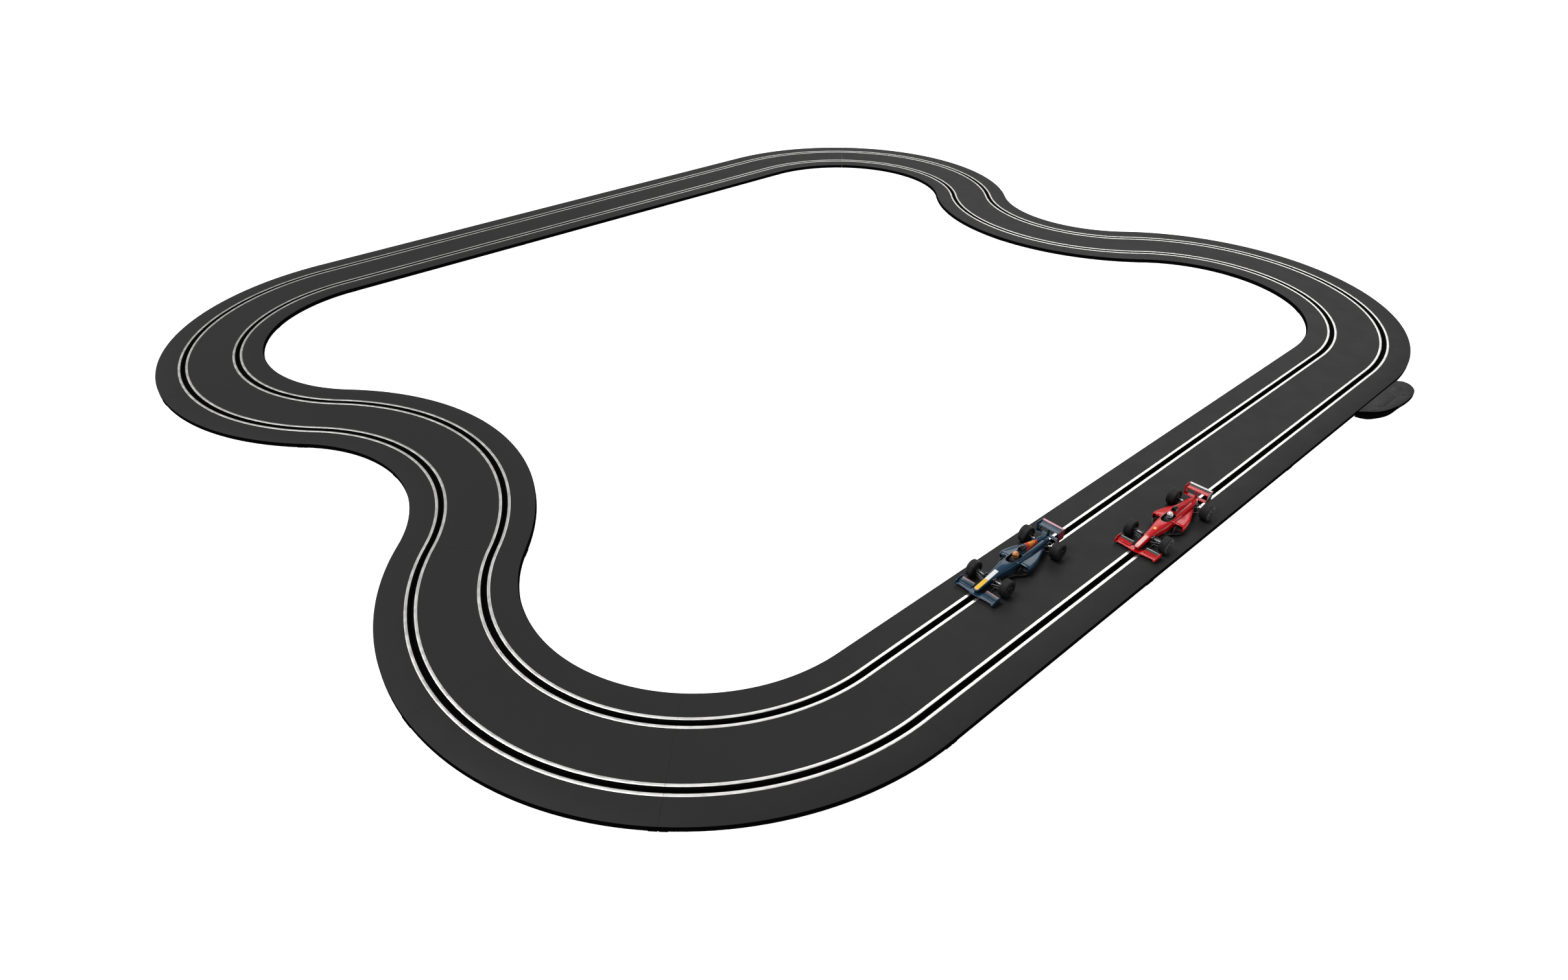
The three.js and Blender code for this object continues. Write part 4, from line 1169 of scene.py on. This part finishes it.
def motor_pinion():
    shape = Shape()
    start = MOTOR[1] + 0.3
    shape.lathe([(0, 0), (0.7, 0), (0.8, 0.1), (0.8, 8.9), (0.7, 9), (0, 9)], (start, 0, AXLE_Z), 1, 24, "x")
    gear(shape, 9, 2.1, 1.55, 8.2, 13.8, (start, 0, AXLE_Z), "x", 0.75)
    shape.lathe([(0, 8.9), (1.2, 8.9), (1.2, 13.9), (0, 13.9)], (start, 0, AXLE_Z), 0, 24, "x")
    return shape


def crown_gear():
    shape = Shape()
    gear(shape, 27, 5.6, 5.0, 2.6, 4.2, (REAR_AXLE, 0, AXLE_Z), "y", 1.3)
    boss = [(1.3, 2.8), (3.9, 2.8), (4.1, 3), (4.1, 3.9), (2.6, 4.4), (2.6, 5.4), (2.4, 5.6), (1.3, 5.6)]
    shape.lathe(boss, (REAR_AXLE, 0, AXLE_Z))
    return shape


def axle(x, width):
    """A steel axle with a five-spoked hub pressed on at each end."""
    shape = Shape()
    end = HALF_CAR - 0.6
    tip = end - 1
    shaft = [(0, -tip), (1.1, -tip), (1.2, -end + 1.2), (1.2, end - 1.2), (1.1, tip), (0, tip)]
    shape.lathe(shaft, (x, 0, AXLE_Z), 0, segments=28)
    for side in (-1, 1):
        inner = HALF_CAR - width + 1
        barrel = [
            (1.15, inner), (5.9, inner), (6.25, inner + 0.3), (6.25, end - 0.3), (6.05, end),
            (5.75, end - 0.1), (5.5, end - 1.6), (4.2, end - 2.1), (2.4, end - 1.9), (2.1, end - 0.9),
            (1.7, end - 0.5), (1.15, end - 0.5),
        ]
        shape.lathe([(r, side * y) for r, y in barrel], (x, 0, AXLE_Z), 1, segments=56)
        for k in range(5):
            for spread in (-0.16, 0.16):
                angle = 2 * math.pi * k / 5
                foot, tip = angle + spread * 2.2, angle + spread
                shape.tube([
                    (x + 2.0 * math.cos(foot), side * (end - 1.5), AXLE_Z + 2.0 * math.sin(foot)),
                    (x + 5.75 * math.cos(tip), side * (end - 0.9), AXLE_Z + 5.75 * math.sin(tip)),
                ], 0.45, 1, 8)
    return shape


def tyre(x, side, width):
    """A slick tyre with a raised ring on its wall and a fine mould line round its middle."""
    shape = Shape()
    half = width / 2
    edge = [
        (6.25, half - 0.9), (6.45, half - 0.35), (6.9, half - 0.1), (7.1, half - 0.02), (7.3, half - 0.02),
        (7.5, half - 0.12), (8.2, half - 0.02), (9, half - 0.08), (9.3, half - 0.26), (9.5, half - 0.14),
        (9.9, half - 0.38), (10.25, half - 0.8), (10.47, half - 1.4), (10.52, half - 2.1),
        (TYRE_RADIUS, half - 3),
    ]
    profile = edge + [(TYRE_RADIUS, 0.12), (TYRE_RADIUS - 0.05, 0)] + [(r, -y) for r, y in reversed(edge)]
    profile.insert(len(edge) + 2, (TYRE_RADIUS, -0.12))
    middle = side * (HALF_CAR - half)
    shape.lathe([(r, middle + a) for r, a in profile], (x, 0, AXLE_Z), 0, segments=96)
    return shape


def guide():
    """The guide: its blade in the slot, its plate and post, and the two pickup braids in their clips."""
    shape = Shape()
    blade = [(-8, -3.2), (-7.2, -4.3), (-6.4, -4.6), (7.4, -4.6), (8.4, -4.2), (9, -3.4), (9, 0.9), (-8, 0.9)]
    absorb(shape, upright(blade, -0.9, 0.9, 0.3))
    plate = [(-9, -2.6), (-7.4, -4.4), (8.6, -4.4), (10, -3), (10, 3), (8.6, 4.4), (-7.4, 4.4), (-9, 2.6)]
    absorb(shape, slab(plate, 0.5, 1.6, 0.25))
    shape.lathe([(0, 1.2), (1.8, 1.2), (1.8, 4.2), (2.7, 4.45), (2.8, 4.6), (2.6, 5.3), (1.6, 5.4), (0, 5.4)],
                (0, 0, 0), 0, segments=32, axis="z")
    for side in (-1, 1):
        lines = [(-7.5, 1.9), (-8.8, 1.6), (-9.4, 1.0), (-8.6, 0.42), (-6, 0.22), (0, 0.2), (5, 0.22)]
        rings = []
        for x, z in arc(lines, 0.5):
            wave = 0.06 * math.sin(5.0 * x)
            rings.append([(x, side * 5.35 + y, z + h + wave) for y, h in
                          ((-1.1, -0.12), (1.1, -0.12), (1.2, 0), (1.1, 0.12), (-1.1, 0.12), (-1.2, 0))])
        shape.loft(rings, 1)
        side_plate(shape, side, [(-7.8, 0.5), (-4.6, 0.5), (-4.6, 1.7), (-7.8, 1.7)], 3.9, 6.6)
    return shape


def car(name, look):
    low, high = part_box(f"{name}_guide")
    origin = Vector((low.x + 9 * MM, (low.y + high.y) / 2, low.z + 4.6 * MM))
    gloss = paint(f"{name}_gloss", look["paint"], origin, look["patches"])
    wing_gloss = paint(f"{name}_wing_gloss", look["paint"], origin, [])
    edge = moulded(f"{name}_wing_edge", look["wing_edge"], 0.3, 0.1, coat=0.4)
    side_paint = moulded(f"{name}_wing_side", look["wing_side"], 0.35, 0.1, coat=0.4)
    flap = moulded(f"{name}_front_flap", look["front_flap"], 0.4, 0.1, coat=0.3)
    rear_flap = moulded(f"{name}_rear_flap", look["rear_flap"], 0.35, 0.1, coat=0.4)
    helmet = moulded(f"{name}_helmet_paint", look["helmet"], 0.2, 0.05, coat=0.6)
    band = moulded(f"{name}_helmet_band", look["helmet_band"], 0.25, 0.05, coat=0.6)
    grey = moulded(f"{name}_suspension", (0.05, 0.05, 0.052), 0.4)
    colour = name.split("_")[0]
    body = f"{colour}_car"

    def add(part, shape, materials, rides, slot, angle=32):
        mesh = shape if isinstance(shape, bpy.types.Mesh) else shape.mesh(part)
        show(f"{name}_{part}_detailed", mesh, origin, materials, rides, slot, [f"{name}_{part}"], angle)

    shell, fittings = body_shell()
    add("body_shell", shell, [gloss, BLACK, BRASS, STEEL], body, f"{colour}_paint", 40)
    show(f"{name}_mirrors_and_rim", fittings.mesh("fittings"), origin, [gloss, BLACK], body,
         f"{colour}_paint")
    add("front_wing", front_wing(), [wing_gloss, flap, edge], body, f"{colour}_paint", 38)
    add("rear_wing", rear_wing(), [wing_gloss, edge, side_paint, rear_flap], body, f"{colour}_paint", 38)
    add("chassis", chassis(), [BLACK, grey, STEEL, STEEL], body, "black_plastic")
    add("driver", driver(), [helmet, DARK_GLASS, band, SUIT_BLACK], body, f"{colour}_helmet", 50)
    add("motor", motor(), [CAN_STEEL, BLACK, BRASS], body, "motor_steel")
    add("motor_pinion", motor_pinion(), [BRASS, STEEL], f"{colour}_motor_shaft", "brass", 20)
    add("crown_gear", crown_gear(), [NYLON], f"{colour}_rear_wheels", "nylon", 20)
    add("guide", guide(), [BLACK, COPPER], f"{colour}_guide", "black_plastic")
    for end, (x, width) in TYRES.items():
        wheels = f"{colour}_{end}_wheels"
        add(f"{end}_axle", axle(x, width), [STEEL, RIM_BLACK], wheels, "axle_steel")
        for label, side in (("left", -1), ("right", 1)):
            add(f"{end}_{label}_tyre", tyre(x, side, width), [RUBBER], wheels, "tyre_rubber", 60)


for car_name, car_look in CARS.items():
    car(car_name, car_look)


# ---------------------------------------------------------------- stage, lights and camera
def stage():
    floor_mesh = bpy.data.meshes.new("floor")
    far = 60
    corners = [(-far, -far, 0), (far, -far, 0), (far, far, 0), (-far, far, 0)]
    floor_mesh.from_pydata(corners, [], [[0, 1, 2, 3]])
    floor = bpy.data.objects.new("floor", floor_mesh)
    bpy.context.scene.collection.objects.link(floor)
    material = new_material("floor_white", (0.93, 0.93, 0.93), 0.9)
    shader_of(material).inputs["Emission Color"].default_value = (1, 1, 1, 1)
    feed(material, "Emission Strength", 1.0)
    floor_mesh.materials.append(material)
    world = bpy.data.worlds.new("studio")
    world.use_nodes = True
    world.node_tree.nodes["Background"].inputs["Color"].default_value = (1, 1, 1, 1)
    world.node_tree.nodes["Background"].inputs["Strength"].default_value = 0.32
    bpy.context.scene.world = world


def sun(name, direction, strength, spread):
    light = bpy.data.lights.new(name, "SUN")
    light.energy = strength
    light.angle = math.radians(spread)
    made = bpy.data.objects.new(name, light)
    bpy.context.scene.collection.objects.link(made)
    made.rotation_euler = Vector(direction).to_track_quat("-Z", "Y").to_euler()


def panel(name, place_at, aim_at, size, power):
    light = bpy.data.lights.new(name, "AREA")
    light.shape = "RECTANGLE"
    light.size, light.size_y = size
    light.energy = power
    made = bpy.data.objects.new(name, light)
    bpy.context.scene.collection.objects.link(made)
    made.location = place_at
    made.rotation_euler = (Vector(aim_at) - Vector(place_at)).to_track_quat("-Z", "Y").to_euler()
    made.visible_camera = False


def camera():
    place_at = Vector((-1.0522, -1.1159, 0.7223))
    ahead = Vector((0.5487, 0.6079, -0.5740))
    made = bpy.data.objects.new("camera", bpy.data.cameras.new("camera"))
    bpy.context.scene.collection.objects.link(made)
    made.data.sensor_width = 36
    made.data.lens = 22.21
    made.data.clip_start = 0.02
    made.location = place_at
    made.rotation_euler = ahead.to_track_quat("-Z", "Y").to_euler()
    bpy.context.scene.camera = made


stage()
sun("key", (0.3, -0.45, -1), 2.2, 30)
panel("back_panel", (3.6, 1.4, 3.4), (0.1, -0.2, 0), (4.2, 2.4), 90)
camera()
bpy.context.scene.view_settings.view_transform = "Standard"
